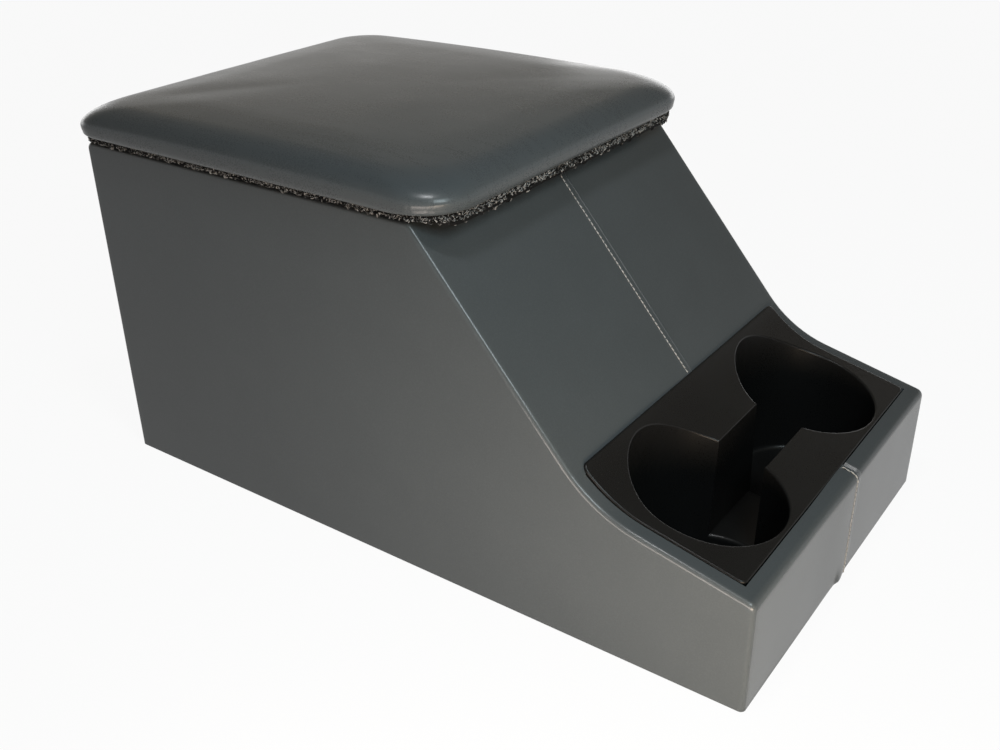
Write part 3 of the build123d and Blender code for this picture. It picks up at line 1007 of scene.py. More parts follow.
@dataclass
class BoxCovers:
    """The two vinyl covers, lapped and sewn together along the slope, the front and the rear."""

    vinyl: bpy.types.Material
    thread: bpy.types.Material
    row_tree: RowTree
    cell: float = 0.007
    flat_within: float = 0.2
    sharp_from: float = 50.0
    wave_height: float = 0.00014
    long_wave: float = 0.07
    short_wave: float = 0.026
    lap_height: float = 0.0008
    lap_width: float = 0.06
    lap_round: float = 0.0015
    fold_back_front: float = 0.005
    fold_back_slope: float = 0.001
    sewn_in_front: float = 0.003
    sewn_in_slope: float = 0.0048
    dimple: float = 0.00032
    dimple_width: float = 0.0009
    hem_bulge: float = 0.0013
    hem_bulge_height: float = 0.006
    hem_bulge_width: float = 0.015
    stitch_pitch: float = 0.0031
    stitch_length: float = 0.0031
    stitch_wander: float = 0.09
    thread_radius: float = 0.00031
    plies: int = 2
    ply_turns: float = 0.9
    ply_rings: int = 7
    ply_sides: int = 4
    feeler: float = 0.06
    boards: tuple[str, ...] = (
        "front_board", "slope_board", "rear_board", "left_side_board", "right_side_board", "base_board",
    )

    # Extra cuts in millimetres, beside the folded edge and above the floor
    FOLD_CUTS = (
        -0.08, 0.0, 0.2, 0.45, 0.8, 1.2, 1.7, *np.arange(2.2, 6.4, 0.4), *np.arange(7.0, 21.0, 1.4),
    )
    HEM_CUTS = (1.5, 3.0, 4.5, 6.0, 8.0, 10.0)

    def __post_init__(self) -> None:
        """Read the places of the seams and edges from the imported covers."""
        left_low, left_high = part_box("left_cover")
        self.front_join = left_high.x
        self.slope_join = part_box("right_cover")[0].x
        self.front_y = left_low.y
        self.rear_y = left_high.y
        self.top_z = left_high.z
        self.slope_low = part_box("cup_tray")[1].z
        self.hinge_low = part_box("hinge_body_leaf")[0].z
        self.shelf_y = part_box("cup_tray")[0].y
        self.skin = tree_of(self.boards)

    def build(self) -> None:
        """Make both covers and the stitches."""
        left, _ = [self._cover(side) for side in Side]
        self._stitches(left.data)

    def fold_at(self, y: float | np.ndarray) -> np.ndarray:
        """Where the left cover's folded edge shows, by how far back a point lies."""
        front, slope = self.front_join - self.fold_back_front, self.slope_join - self.fold_back_slope
        return np.where(y < self.shelf_y + self.cell, front, slope)

    def sewn_in(self, y: float | np.ndarray) -> np.ndarray:
        """How far the stitches keep from the folded edge, by how far back a point lies."""
        return np.where(y < self.shelf_y + self.cell, self.sewn_in_front, self.sewn_in_slope)

    def lap(self, inside: np.ndarray, y: np.ndarray) -> np.ndarray:
        """How far the left cover stands up over the folded seam.

        Args:
            inside: Distance to the left of the folded edge.
            y: How far back the points lie.

        Returns:
            The lift at each point.
        """
        turn = np.clip(inside / self.lap_round, 0.0, 1.0)
        edge = 0.35 + 0.65 * np.sqrt(1.0 - (1.0 - turn) ** 2)
        fall = 1.0 - smoothstep(0.15 * self.lap_width, self.lap_width, inside)
        sunk = np.exp(-((inside - self.sewn_in(y)) / self.dimple_width) ** 2)
        return np.where(inside >= -MERGE, self.lap_height * edge * fall - self.dimple * sunk, 0.0)

    def hem(self, inside: np.ndarray, points: np.ndarray) -> np.ndarray:
        """How far the folded seam swells forward at the front's lower edge.

        Args:
            inside: Distance to the left of the folded edge.
            points: The points, one row each.

        Returns:
            The lift at each point.
        """
        low = np.exp(-((points[:, 2] / self.hem_bulge_height) ** 2))
        share = inside / self.hem_bulge_width
        swell = smoothstep(0.1, 0.95, share) * (1.0 - smoothstep(0.95, 1.3, share))
        return self.hem_bulge * low * swell * (points[:, 1] < self.front_y + 0.5 * MM)

    def _seam(self, points: np.ndarray) -> np.ndarray:
        """How far the left cover is lifted along its seam, which lies flat behind the hinge.

        Args:
            points: The points, one row each.

        Returns:
            The lift at each point.
        """
        inside = self.fold_at(points[:, 1]) - points[:, 0]
        rear = points[:, 1] > self.rear_y - 0.5 * MM
        below_hinge = 1.0 - smoothstep(self.hinge_low - 12 * MM, self.hinge_low - 2 * MM, points[:, 2])
        clear = np.where(rear, below_hinge, 1.0)
        return clear * self.lap(inside, points[:, 1]) + self.hem(inside, points)

    def _cuts(self, low: float, high: float) -> list[float]:
        """Even cuts between two places, about a cell apart."""
        count = max(2, round((high - low) / self.cell))
        return [low + (high - low) * i / count for i in range(1, count)]

    def _cut_cover(self, side: Side) -> bmesh.types.BMesh:
        """Cut a packed cover finely, more so beside the left one's seam.

        Args:
            side: The cover's side.

        Returns:
            The cut mesh.
        """
        node = f"{side.value}_cover"
        bm = node_copy(node)
        flat = math.radians(self.flat_within)
        bmesh.ops.dissolve_limit(bm, angle_limit=flat, verts=bm.verts[:], edges=bm.edges[:])
        bmesh.ops.connect_verts_concave(bm, faces=bm.faces[:])
        low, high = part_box(node)
        for axis in Axis:
            slice_mesh(bm, axis, self._cuts(low[axis.value], high[axis.value]))
        if side is Side.LEFT:
            for fold in (self.fold_at(self.front_y), self.fold_at(self.rear_y)):
                slice_mesh(bm, Axis.X, [float(fold) - step * MM for step in self.FOLD_CUTS])
            slice_mesh(bm, Axis.Z, [step * MM for step in self.HEM_CUTS])
        return bm

    def _cover(self, side: Side) -> bpy.types.Object:
        """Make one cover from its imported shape: finely cut, then lifted, sunk and rippled.

        Args:
            side: The cover's side.

        Returns:
            The cover.
        """
        node = f"{side.value}_cover"
        name = f"{node}_skin"
        mesh = mesh_from(name, self._cut_cover(side), self.sharp_from)
        points, ups = coordinates(mesh), normals(mesh)
        off_board = np.array([self.skin.find_nearest(Vector(point))[3] for point in points])
        outside = (off_board > 0.6 * MM) & (points[:, 2] > 0.4 * MM)
        under_lid = smoothstep(self.top_z - 8 * MM, self.top_z - 2 * MM, points[:, 2])
        free = outside * (1.0 - under_lid)
        waves = ripple(points, self.long_wave) + 0.5 * ripple(points + 3.1, self.short_wave)
        lift = self.wave_height * waves
        if side is Side.LEFT:
            lift += self._seam(points)
        set_coordinates(mesh, points + ups * (free * lift)[:, None])
        return fit(dress(new_object(name, mesh), self.vinyl), Body.BOX, [node])

    def _seam_lines(self) -> dict[str, list[tuple[Vector, Vector]]]:
        """Lay out rays that feel for the cover along each stitched line.

        Returns:
            Each line's rays, as a start and a direction.
        """
        back, ahead = Vector((0.0, 1.0, 0.0)), Vector((0.0, -1.0, 0.0))
        front_x, slope_x = (float(self.fold_at(y) - self.sewn_in(y)) for y in (self.front_y, self.rear_y))
        before, behind = self.front_y - self.feeler, self.rear_y + self.feeler
        rim = Vector((front_x, self.front_y + 5 * MM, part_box("front_board")[1].z - 6 * MM))
        front_zs = np.linspace(1.5 * MM, rim.z, 30)
        slope_zs = np.linspace(self.slope_low + 1 * MM, self.top_z - 2 * MM, 60)
        rear_zs = np.linspace(2 * MM, self.hinge_low - 3 * MM, 60)
        front = [(Vector((front_x, before, z)), back) for z in front_zs]
        for turn in np.linspace(0.03, 0.72, 24) * math.pi:
            out = Vector((0.0, -math.cos(turn), math.sin(turn)))
            front.append((rim + out * self.feeler, -out))
        slope = [(Vector((slope_x, before, z)), back) for z in slope_zs]
        rear = [(Vector((slope_x, behind, z)), ahead) for z in rear_zs]
        return {"slope": slope, "front": front, "rear": rear}

    def _stitches(self, cover: bpy.types.Mesh) -> None:
        """Sew a row of stitches along each seam.

        Args:
            cover: The left cover's mesh, which the stitches lie on.
        """
        faces = [list(face.vertices) for face in cover.polygons]
        tree = BVHTree.FromPolygons(coordinates(cover).tolist(), faces)
        stitch = self._stitch()
        for name, rays in self._seam_lines().items():
            hits = [tree.ray_cast(start, direction) for start, direction in rays]
            found = [hit for hit in hits if hit[0]]
            points = [hit[0] + hit[1] * self.thread_radius * 0.6 for hit in found]
            row = self.row_tree.grow(
                f"{name}_stitches",
                line_mesh(f"{name}_line", points, [hit[1] for hit in found]),
                Pitch=self.stitch_pitch,
                Copy=stitch,
                Wander=self.stitch_wander,
                Material=self.thread,
            )
            fit(row, Body.BOX)
        bpy.data.objects.remove(stitch)

    def _stitch(self) -> bpy.types.Object:
        """Make one stitch: plies twisted together that dive into the vinyl at both ends.

        Returns:
            The stitch, about the origin and along X.
        """
        bm = bmesh.new()
        for ply in range(self.plies):
            shares = [i / (self.ply_rings - 1) for i in range(self.ply_rings)]
            rings = [self._ply_ring(bm, share, ply / self.plies) for share in shares]
            skin_rings(bm, rings)
            bm.faces.new(rings[0][::-1])
            bm.faces.new(rings[-1])
        bmesh.ops.recalc_face_normals(bm, faces=bm.faces[:])
        return new_object("stitch_shape", mesh_from("stitch_shape", bm))

    def _ply_ring(self, bm: bmesh.types.BMesh, share: float, lead: float) -> list[bmesh.types.BMVert]:
        """Add one ring of points of a ply.

        Args:
            bm: The stitch's mesh.
            share: How far along the stitch the ring is, from 0 to 1.
            lead: How far round the twist the ply starts, from 0 to 1.

        Returns:
            The ring.
        """
        radius = self.thread_radius
        swing = 0.62 * radius
        dive = abs(2.0 * share - 1.0) ** 6
        phase = math.tau * (share * self.ply_turns + lead)
        x = (share - 0.5) * self.stitch_length
        y, z = swing * math.cos(phase), swing * math.sin(phase) - 2.2 * radius * dive
        angles = [math.tau * k / self.ply_sides for k in range(self.ply_sides)]
        return [bm.verts.new((x, y + radius * math.cos(a), z + radius * math.sin(a))) for a in angles]


# The padded lid

@dataclass
class PaddedLid:
    """The lid: vinyl over foam on a board, swelled by a cloth simulation, with gathers at its corners."""

    vinyl: bpy.types.Material
    board: bpy.types.Material
    front_corner: float = 0.031
    rear_corner: float = 0.019
    corner_growth: float = 0.5
    shoulder_width: float = 0.045
    shoulder_height: float = 0.004
    roll_width: float = 0.018
    roll_height: float = 0.0095
    lower_width: float = 0.0026
    lower_height: float = 0.0066
    slack: float = 0.002
    crown_across: float = 0.0004
    crown_along: float = 0.0024
    edge_steps: int = 19
    cell: float = 0.0052
    sharp_from: float = 60.0
    voxel: float = 0.005
    held_height: float = 0.007
    pressure: float = 1.2
    stretch_stiffness: float = 25.0
    bend_stiffness: float = 3.0
    frames: int = 20
    most_move: float = 0.008
    least_rise: float = 0.0002
    neighbours: int = 12
    even_rounds: int = 14
    board_cover: float = 0.0004
    gather_pitch: float = 0.0031
    gather_depth: float = 0.00045
    gather_height: float = 0.0055
    gather_change: float = 0.006
    corner_tuck: float = 0.0008
    wrinkle: float = 0.00006
    long_wrinkle: float = 0.05
    short_wrinkle: float = 0.019

    def __post_init__(self) -> None:
        """Read the lid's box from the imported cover."""
        self.low, self.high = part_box("lid_cover")
        self.middle = (self.low + self.high) / 2
        self.half_x = (self.high.x - self.low.x) / 2
        self.half_y = (self.high.y - self.low.y) / 2

    def build(self) -> None:
        """Make the pad and dress the board inside it."""
        pad = new_object("lid_pad", mesh_from("lid_pad", self._form(), self.sharp_from))
        self._swell(pad)
        self._subdivide(pad)
        self._gather(pad.data)
        self._clear_board(pad.data)
        fit(dress(pad, self.vinyl), Body.LID, ["lid_cover", "lid_foam"])
        dress_nodes(["lid_board"], self.board)

    def _lines(self, half: float) -> list[float]:
        """Place the grid lines across the lid, closer together over the shoulders.

        Args:
            half: Half of the lid's width or length.

        Returns:
            Each line's distance from the edge where they start.
        """
        arc = [0.5 * math.pi * i / self.edge_steps for i in range(self.edge_steps)]
        near = [self.shoulder_width * (1.0 - math.cos(angle)) for angle in arc]
        count = round(2 * (half - self.shoulder_width) / self.cell)
        inner = np.linspace(self.shoulder_width, 2 * half - self.shoulder_width, count + 1)
        return [*near, *inner, *[2 * half - place for place in reversed(near)]]

    def _mapped(self, x: float, y: float) -> tuple[float, float, float]:
        """Bend a point of the square grid onto the lid's plan, whose corners get rounder inwards.

        Args:
            x: Distance across, from the left edge.
            y: Distance along, from the front edge.

        Returns:
            The point's x and y from the lid's middle, and its distance in from the edge.
        """
        from_x, from_y = min(x, 2 * self.half_x - x), min(y, 2 * self.half_y - y)
        depth, other = min(from_x, from_y), max(from_x, from_y)
        corner = self.rear_corner if y > self.half_y else self.front_corner
        radius = min(corner + self.corner_growth * depth, min(self.half_x, self.half_y) - depth)
        if other >= depth + radius:
            return x - self.half_x, y - self.half_y, depth
        share = (other - depth) / radius
        angle = math.radians(45.0) * (1.0 + share * (1.0 if from_x < from_y else -1.0))
        across = self.half_x - depth - radius * (1.0 - math.sin(angle))
        along = self.half_y - depth - radius * (1.0 - math.cos(angle))
        return math.copysign(across, x - self.half_x), math.copysign(along, y - self.half_y), depth

    @staticmethod
    def _rounded(depth: float, width: float, height: float) -> float:
        """How far an edge is rounded off.

        Args:
            depth: Distance in from the edge.
            width: How far in the round reaches.
            height: How much it takes off at the edge.

        Returns:
            What it takes off at that depth.
        """
        share = 1.0 - min(depth / width, 1.0)
        return height * (1.0 - math.sqrt(1.0 - share**2))

    def _top(self, x: float, y: float, depth: float) -> float:
        """Height of the pad's top before it swells.

        Args:
            x: Place across, from the middle.
            y: Place along, from the middle.
            depth: Distance in from the edge.

        Returns:
            The height above the floor.
        """
        dome = self.shoulder_height * (1.0 - min(depth / self.shoulder_width, 1.0)) ** 2
        roll = self._rounded(depth, self.roll_width, self.roll_height)
        crown = self.crown_across * (x / self.half_x) ** 2 + self.crown_along * (y / self.half_y) ** 2
        return self.high.z - self.slack - crown - dome - roll

    def _form(self) -> bmesh.types.BMesh:
        """Make the pad as a closed grid: crowned top, round sides and a flat underside.

        Returns:
            The mesh.
        """
        xs, ys = self._lines(self.half_x), self._lines(self.half_y)
        bm = bmesh.new()
        top, under = {}, {}
        for i, x in enumerate(xs):
            for j, y in enumerate(ys):
                across, along, depth = self._mapped(x, y)
                place = (self.middle.x + across, self.middle.y + along)
                lift = self._rounded(depth, self.lower_width, self.lower_height)
                top[i, j] = bm.verts.new((*place, self._top(across, along, depth)))
                under[i, j] = bm.verts.new((*place, self.low.z + lift))
        last_x, last_y = len(xs) - 1, len(ys) - 1
        for i in range(last_x):
            for j in range(last_y):
                bm.faces.new((top[i, j], top[i + 1, j], top[i + 1, j + 1], top[i, j + 1]))
                bm.faces.new((under[i, j], under[i, j + 1], under[i + 1, j + 1], under[i + 1, j]))
        rim = [(i, 0) for i in range(last_x)] + [(last_x, j) for j in range(last_y)]
        rim += [(i, last_y) for i in range(last_x, 0, -1)] + [(0, j) for j in range(last_y, 0, -1)]
        rings = [[under[key] for key in rim]]
        for share in (0.25, 0.5, 0.75):
            rings.append([bm.verts.new(under[key].co.lerp(top[key].co, share)) for key in rim])
        rings.append([top[key] for key in rim])
        skin_rings(bm, rings)
        bmesh.ops.recalc_face_normals(bm, faces=bm.faces[:])
        return bm

    def _swell(self, pad: bpy.types.Object) -> None:
        """Swell the pad by the movement of a simulated copy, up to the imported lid's height.

        Args:
            pad: The pad.
        """
        points, ups = coordinates(pad.data), normals(pad.data)
        start, moved = self._simulate(pad)
        tree = KDTree(len(start))
        for index, place in enumerate(start):
            tree.insert(place, index)
        tree.balance()
        push = np.zeros_like(points)
        for index, point in enumerate(points):
            near = tree.find_n(point, self.neighbours)
            weights = np.array([1.0 / (distance + self.voxel) ** 2 for _, _, distance in near])
            push[index] = weights @ moved[[key for _, key, _ in near]] / weights.sum()
        rise = push[np.argmax(points[:, 2]), 2]
        LOG.info("lid_pad: swelled by %.1f mm at its middle", rise / MM)
        push *= self.slack / max(rise, self.least_rise)
        push -= ups * np.minimum((push * ups).sum(axis=1), 0.0)[:, None]
        set_coordinates(pad.data, points + evened(pad.data, push, self.even_rounds))

    def _simulate(self, pad: bpy.types.Object) -> tuple[np.ndarray, np.ndarray]:
        """Blow up a remeshed copy of the pad with its underside held.

        Args:
            pad: The pad before it swells.

        Returns:
            The copy's points at the start, and how far each one moved.
        """
        copy = new_object("lid_pad_sim", pad.data.copy())
        remesh = copy.modifiers.new("remesh", "REMESH")
        remesh.mode = "VOXEL"
        remesh.voxel_size = self.voxel
        even = evaluated_mesh(copy)
        copy.modifiers.clear()
        copy.data = even
        start = coordinates(even)
        held = copy.vertex_groups.new(name="held")
        lower = np.nonzero(start[:, 2] < self.low.z + self.held_height)[0]
        held.add(lower.tolist(), 1.0, "REPLACE")
        cloth = copy.modifiers.new("cloth", "CLOTH").settings
        cloth.use_pressure = True
        cloth.uniform_pressure_force = self.pressure
        cloth.effector_weights.gravity = 0.0
        cloth.tension_stiffness = cloth.compression_stiffness = self.stretch_stiffness
        cloth.bending_stiffness = self.bend_stiffness
        cloth.vertex_group_mass = held.name
        scene = bpy.context.scene
        for number in range(1, self.frames + 1):
            scene.frame_set(number)
        moved = coordinates(evaluated_mesh(copy)) - start
        length = np.linalg.norm(moved, axis=1, keepdims=True)
        moved *= np.minimum(1.0, self.most_move / np.maximum(length, 1e-9))
        scene.frame_set(1)
        bpy.data.objects.remove(copy)
        return start, moved

    @staticmethod
    def _subdivide(pad: bpy.types.Object) -> None:
        """Add one level of subdivision to the pad's mesh.

        Args:
            pad: The pad.
        """
        modifier = pad.modifiers.new("smooth", "SUBSURF")
        modifier.levels = modifier.render_levels = 1
        finer = evaluated_mesh(pad)
        pad.modifiers.clear()
        pad.data = finer
        finer.name = pad.name

    def _gather(self, mesh: bpy.types.Mesh) -> None:
        """Gather the vinyl in small pleats under each corner, and draw faint wrinkles over the pad.

        Args:
            mesh: The pad's mesh.
        """
        points, ups = coordinates(mesh), normals(mesh)
        corner = np.where(points[:, 1] > self.middle.y, self.rear_corner, self.front_corner)
        across = np.abs(points[:, 0] - self.middle.x) - (self.half_x - corner)
        along = np.abs(points[:, 1] - self.middle.y) - (self.half_y - corner)
        angle = np.arctan2(np.maximum(along, 0.0), np.maximum(across, 0.0))
        in_corner = (across > 0) & (along > 0)
        reach = smoothstep(0.0, 0.2, angle) * (1.0 - smoothstep(0.6, 0.9, angle)) * in_corner
        length = corner * angle
        right, rear = np.sign(points[:, 0]), np.sign(points[:, 1])
        jitter = ripple(np.c_[length / self.gather_change, right * 2.0, rear * 5.0], 1.0)
        pleat = np.cos(math.tau * length / self.gather_pitch + 2.2 * jitter)
        up_side = (points[:, 2] - self.low.z) / self.gather_height
        fade = np.exp(-(np.maximum(up_side, 0.0) ** 2)) * (0.55 + 0.45 * jitter)
        upright = smoothstep(0.25, 0.8, 1.0 - np.abs(ups[:, 2]))
        lift = self.gather_depth * reach * fade * (pleat - 0.4) * upright
        points[:, 2] += self.corner_tuck * reach * np.exp(-((up_side / 0.6) ** 2))
        shown = smoothstep(self.low.z + 4 * MM, self.low.z + 12 * MM, points[:, 2])
        wrinkles = ripple(points, self.long_wrinkle) + 0.6 * ripple(points + 7.7, self.short_wrinkle)
        lift += self.wrinkle * shown * wrinkles
        set_coordinates(mesh, points + ups * lift[:, None])

    def _clear_board(self, mesh: bpy.types.Mesh) -> None:
        """Lay the vinyl over the board's edge wherever it would pass inside it.

        Args:
            mesh: The pad's mesh.
        """
        board = tree_of(["lid_board"])
        points = coordinates(mesh)
        for index, point in enumerate(points):
            spot, out, _, distance = board.find_nearest(Vector(point))
            away = Vector(point) - spot
            if away.dot(out) < 0.0:
                points[index] = spot + out * self.board_cover
            elif 0.0 < distance < self.board_cover:
                points[index] = spot + away * (self.board_cover / distance)
        set_coordinates(mesh, points)


# Carpet

@dataclass(frozen=True)
class Carpet:
    """A kind of carpet: its yarn, the body that it rides on and its slot."""

    yarn: bpy.types.Material
    body: Body
    slot: Slot


@dataclass
class CarpetWork:
    """The lid's looped carpet, whose raw edge shows all round, and the lining of the bin."""

    pile: PileTree
    looped: Carpet
    felted: Carpet
    loop_height: float = 0.0011
    front_sag: float = 0.0018
    # How much lower again the black backing hangs at the front than the edge loops: a band of real dark
    # backing, put there as painted shadow under the carpet's front edge.
    painted_shadow_band: float = 0.0018
    sag_from: float = -0.044
    sag_to: float = -0.05
    bin_middle: float = 0.09
    under_loops: Tuft = Tuft(9.5e4, 0.0011, 0.00045, 215.0, 0.15, 3)
    edge_loops: Tuft = Tuft(1.7e6, 0.0007, 0.00021, 215.0, 0.5, 5)
    strays: Tuft = Tuft(1.6e4, 0.0024, 0.00007, 110.0, 0.9, 8)
    fibres: Tuft = Tuft(6.5e4, 0.0022, 0.0002, 80.0, 0.7, 20)
    lining: tuple[str, ...] = ("floor_carpet", "left_carpet", "right_carpet", "rear_carpet", "front_carpet")

    def build(self) -> None:
        """Make the lid's carpet and the bin's lining."""
        self._lid_carpet()
        for number, node in enumerate(self.lining):
            self._lining(node, number)

    @staticmethod
    def _only(bm: bmesh.types.BMesh, keep: FaceTest) -> bmesh.types.BMesh:
        """Delete the faces that a test refuses.

        Args:
            bm: The mesh.
            keep: The test.

        Returns:
            The mesh.
        """
        bm.normal_update()
        gone = [face for face in bm.faces if not keep(face)]
        bmesh.ops.delete(bm, geom=gone, context="FACES")
        return bm

    @staticmethod
    def _backing(name: str, bm: bmesh.types.BMesh, sharp_from: float, carpet: Carpet, node: str) -> None:
        """Lay a carpet's backing in place of a packed carpet.

        Args:
            name: The piece's name.
            bm: Its mesh.
            sharp_from: Edges that turn by more degrees than this stay sharp.
            carpet: The kind of carpet.
            node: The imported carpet.
        """
        base = new_object(name, mesh_from(name, bm, sharp_from))
        fit(dress(base, carpet.yarn), carpet.body, [node])

    def _tufts(self, name: str, ground: bmesh.types.BMesh, tuft: Tuft, carpet: Carpet) -> None:
        """Grow tufts of one kind on a carpet."""
        tufts = self.pile.cover(name, mesh_from(f"{name}_ground", ground), tuft, carpet.yarn)
        fit(tufts, carpet.body)

    def _sag(self, y: float) -> float:
        """Share by which the carpet hangs down, and its dark backing shows below the loops as a painted
        shadow band, which it does in front of the box alone.
        """
        return float(np.clip((y - self.sag_from) / (self.sag_to - self.sag_from), 0.0, 1.0))

    def _lid_carpet(self) -> None:
        """Make loops on the underside, finer ones on the edge and stray ends, over a dark backing, which
        drops below the edge loops at the front as a painted shadow band.
        """
        node = "lid_carpet"
        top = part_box(node)[1].z
        backing = node_copy(node)
        slice_mesh(backing, Axis.Y, [self.sag_from, self.sag_to])
        lower = [vert for vert in backing.verts if vert.co.z < top - 0.1 * MM]
        for vert in lower:
            vert.co.z += self.loop_height - self._sag(vert.co.y) * self.front_sag
        edge = self._only(backing.copy(), lambda face: abs(face.normal.z) < 0.5)
        # Drop the black backing below the edge loops at the front: painted shadow under the front edge.
        for vert in lower:
            vert.co.z -= self._sag(vert.co.y) * self.painted_shadow_band
        under = self._only(backing.copy(), lambda face: face.normal.z < -0.5)
        self._backing("lid_carpet_backing", backing, 40.0, self.looped, node)
        self._tufts("lid_carpet_loops", under, self.under_loops, self.looped)
        self._tufts("lid_carpet_edge", edge.copy(), self.edge_loops, self.looped)
        self._tufts("lid_carpet_strays", edge, self.strays, self.looped)

    def _lining(self, node: str, number: int) -> None:
        """Make one piece of the bin's lining: felt with short fibres on the faces that show.

        Args:
            node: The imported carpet.
            number: Its number among the lining's pieces.
        """
        low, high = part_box("floor_carpet")
        middle = (low + high) / 2 + Vector((0.0, 0.0, self.bin_middle))
        felt = node_copy(node)
        shown = self._only(
            felt.copy(), lambda face: face.normal.dot(middle - face.calc_center_median()) > 10 * MM
        )
        self._backing(f"{node}_felt", felt, 30.0, self.felted, node)
        fibres = replace(self.fibres, seed=self.fibres.seed + number)
        self._tufts(f"{node}_fibres", shown, fibres, self.felted)


# The hinge

@dataclass
class PianoHinge:
    """Leaves and pin as packed, held by cross-headed screws."""

    steel: bpy.types.Material
    screw_steel: bpy.types.Material
    row_tree: RowTree
    slot_half: float = 0.00042
    slot_reach: float = 0.0017
    slot_depth: float = 0.0006
    slot_taper: float = 0.8
    head_height: float = 0.0009
    screw_turn: float = 2.6
    sharp_from: float = 35.0
    sides: int = 24

    # Rings of a screw's head, as shares of its radius and of its height down from the top
    HEAD_RINGS = ((1.0, 0.95), (1.0, 0.5), (0.9, 0.18), (0.66, 0.04))

    def build(self) -> None:
        """Dress the hinge and set its screws."""
        dress_nodes(["hinge_body_leaf", "hinge_lid_leaf", "hinge_pin"], self.steel)
        self._screws("hinge_body_screws", Body.BOX, Vector((0.0, 1.0, 0.0)))
        self._screws("hinge_lid_screws", Body.LID, Vector((0.0, 0.0, -1.0)))

    def _screws(self, node: str, body: Body, out: Vector) -> None:
        """Set one leaf's screws in a row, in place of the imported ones.

        Args:
            node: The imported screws.
            body: The body that the leaf rides on.
            out: The direction that the heads face.
        """
        low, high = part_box(node)
        middle = (low + high) / 2
        if body is Body.BOX:
            radius, y, z = (high.z - low.z) / 2, high.y, middle.z
        else:
            radius, y, z = (high.y - low.y) / 2, middle.y, low.z
        gaps = self._count(node, radius) - 1
        start, end = low.x + radius, high.x - radius
        points = [Vector((start + (end - start) * i / gaps, y, z)) for i in range(gaps + 1)]
        shape = self._screw(radius)
        row = self.row_tree.grow(
            f"{node}_set",
            line_mesh(f"{node}_line", points, [out] * len(points)),
            Pitch=(end - start) / gaps * 0.999,
            Copy=shape,
            Wander=self.screw_turn,
            Material=self.screw_steel,
        )
        fit(row, body, [node])
        bpy.data.objects.remove(shape)

    @staticmethod
    def _count(node: str, gap: float) -> int:
        """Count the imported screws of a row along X, which stand more than a gap apart."""
        places = np.sort(coordinates(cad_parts[node].data)[:, 0])
        return 1 + int(np.sum(np.diff(places) > gap))

    def _screw(self, radius: float) -> bpy.types.Object:
        """Make a low domed head with a cross recess, its top at the origin.

        Args:
            radius: The head's radius.

        Returns:
            The screw.
        """
        bm = bmesh.new()
        angles = [math.tau * k / self.sides for k in range(self.sides)]
        rings = []
        for share, drop in self.HEAD_RINGS:
            reach, z = radius * share, -drop * self.head_height
            rings.append([bm.verts.new((reach * math.cos(a), reach * math.sin(a), z)) for a in angles])
        skin_rings(bm, rings)
        cross = self._cross(bm)
        bmesh.ops.bridge_loops(bm, edges=self._ring_edges(bm, rings[-1]) + self._ring_edges(bm, cross))
        taper = self.slot_taper
        floor = [bm.verts.new((v.co.x * taper, v.co.y * taper, -self.slot_depth)) for v in cross]
        skin_rings(bm, [cross, floor])
        bm.faces.new(floor)
        bm.faces.new(rings[0][::-1])
        bmesh.ops.recalc_face_normals(bm, faces=bm.faces[:])
        return new_object("screw_shape", mesh_from("screw_shape", bm, self.sharp_from))

    def _cross(self, bm: bmesh.types.BMesh) -> list[bmesh.types.BMVert]:
        """Add the outline of the cross recess.

        Args:
            bm: The screw's mesh.

        Returns:
            The outline's points.
        """
        half, reach = self.slot_half, self.slot_reach
        arm = [(reach, -half), (reach, half), (half, half)]
        verts = []
        for quarter in range(4):
            turn = Matrix.Rotation(quarter * math.pi / 2, 2)
            verts.extend(bm.verts.new((*(turn @ Vector(corner)), 0.0)) for corner in arm)
        return verts

    @staticmethod
    def _ring_edges(bm: bmesh.types.BMesh, verts: Sequence[bmesh.types.BMVert]) -> list[bmesh.types.BMEdge]:
        """The edges of a closed ring of points, made where they are missing."""
        pairs = zip(verts, [*verts[1:], verts[0]])
        return [bm.edges.get(pair) or bm.edges.new(pair) for pair in pairs]


# The studio

@dataclass(frozen=True)
class Lamp:
    """A soft rectangular lamp."""

    name: str
    place: Point
    target: Point
    size: tuple[float, float]
    power: float
    colour: Colour = WHITE

    def light(self) -> None:
        """Hang the lamp."""
        data = bpy.data.lights.new(self.name, "AREA")
        data.shape = "RECTANGLE"
        data.size, data.size_y = self.size
        data.energy = self.power
        data.color = self.colour
        lamp = bpy.data.objects.new(self.name, data)
        lamp.location = self.place
        lamp.rotation_euler = (Vector(self.target) - Vector(self.place)).to_track_quat("-Z", "Y").to_euler()
        bpy.context.scene.collection.objects.link(lamp)


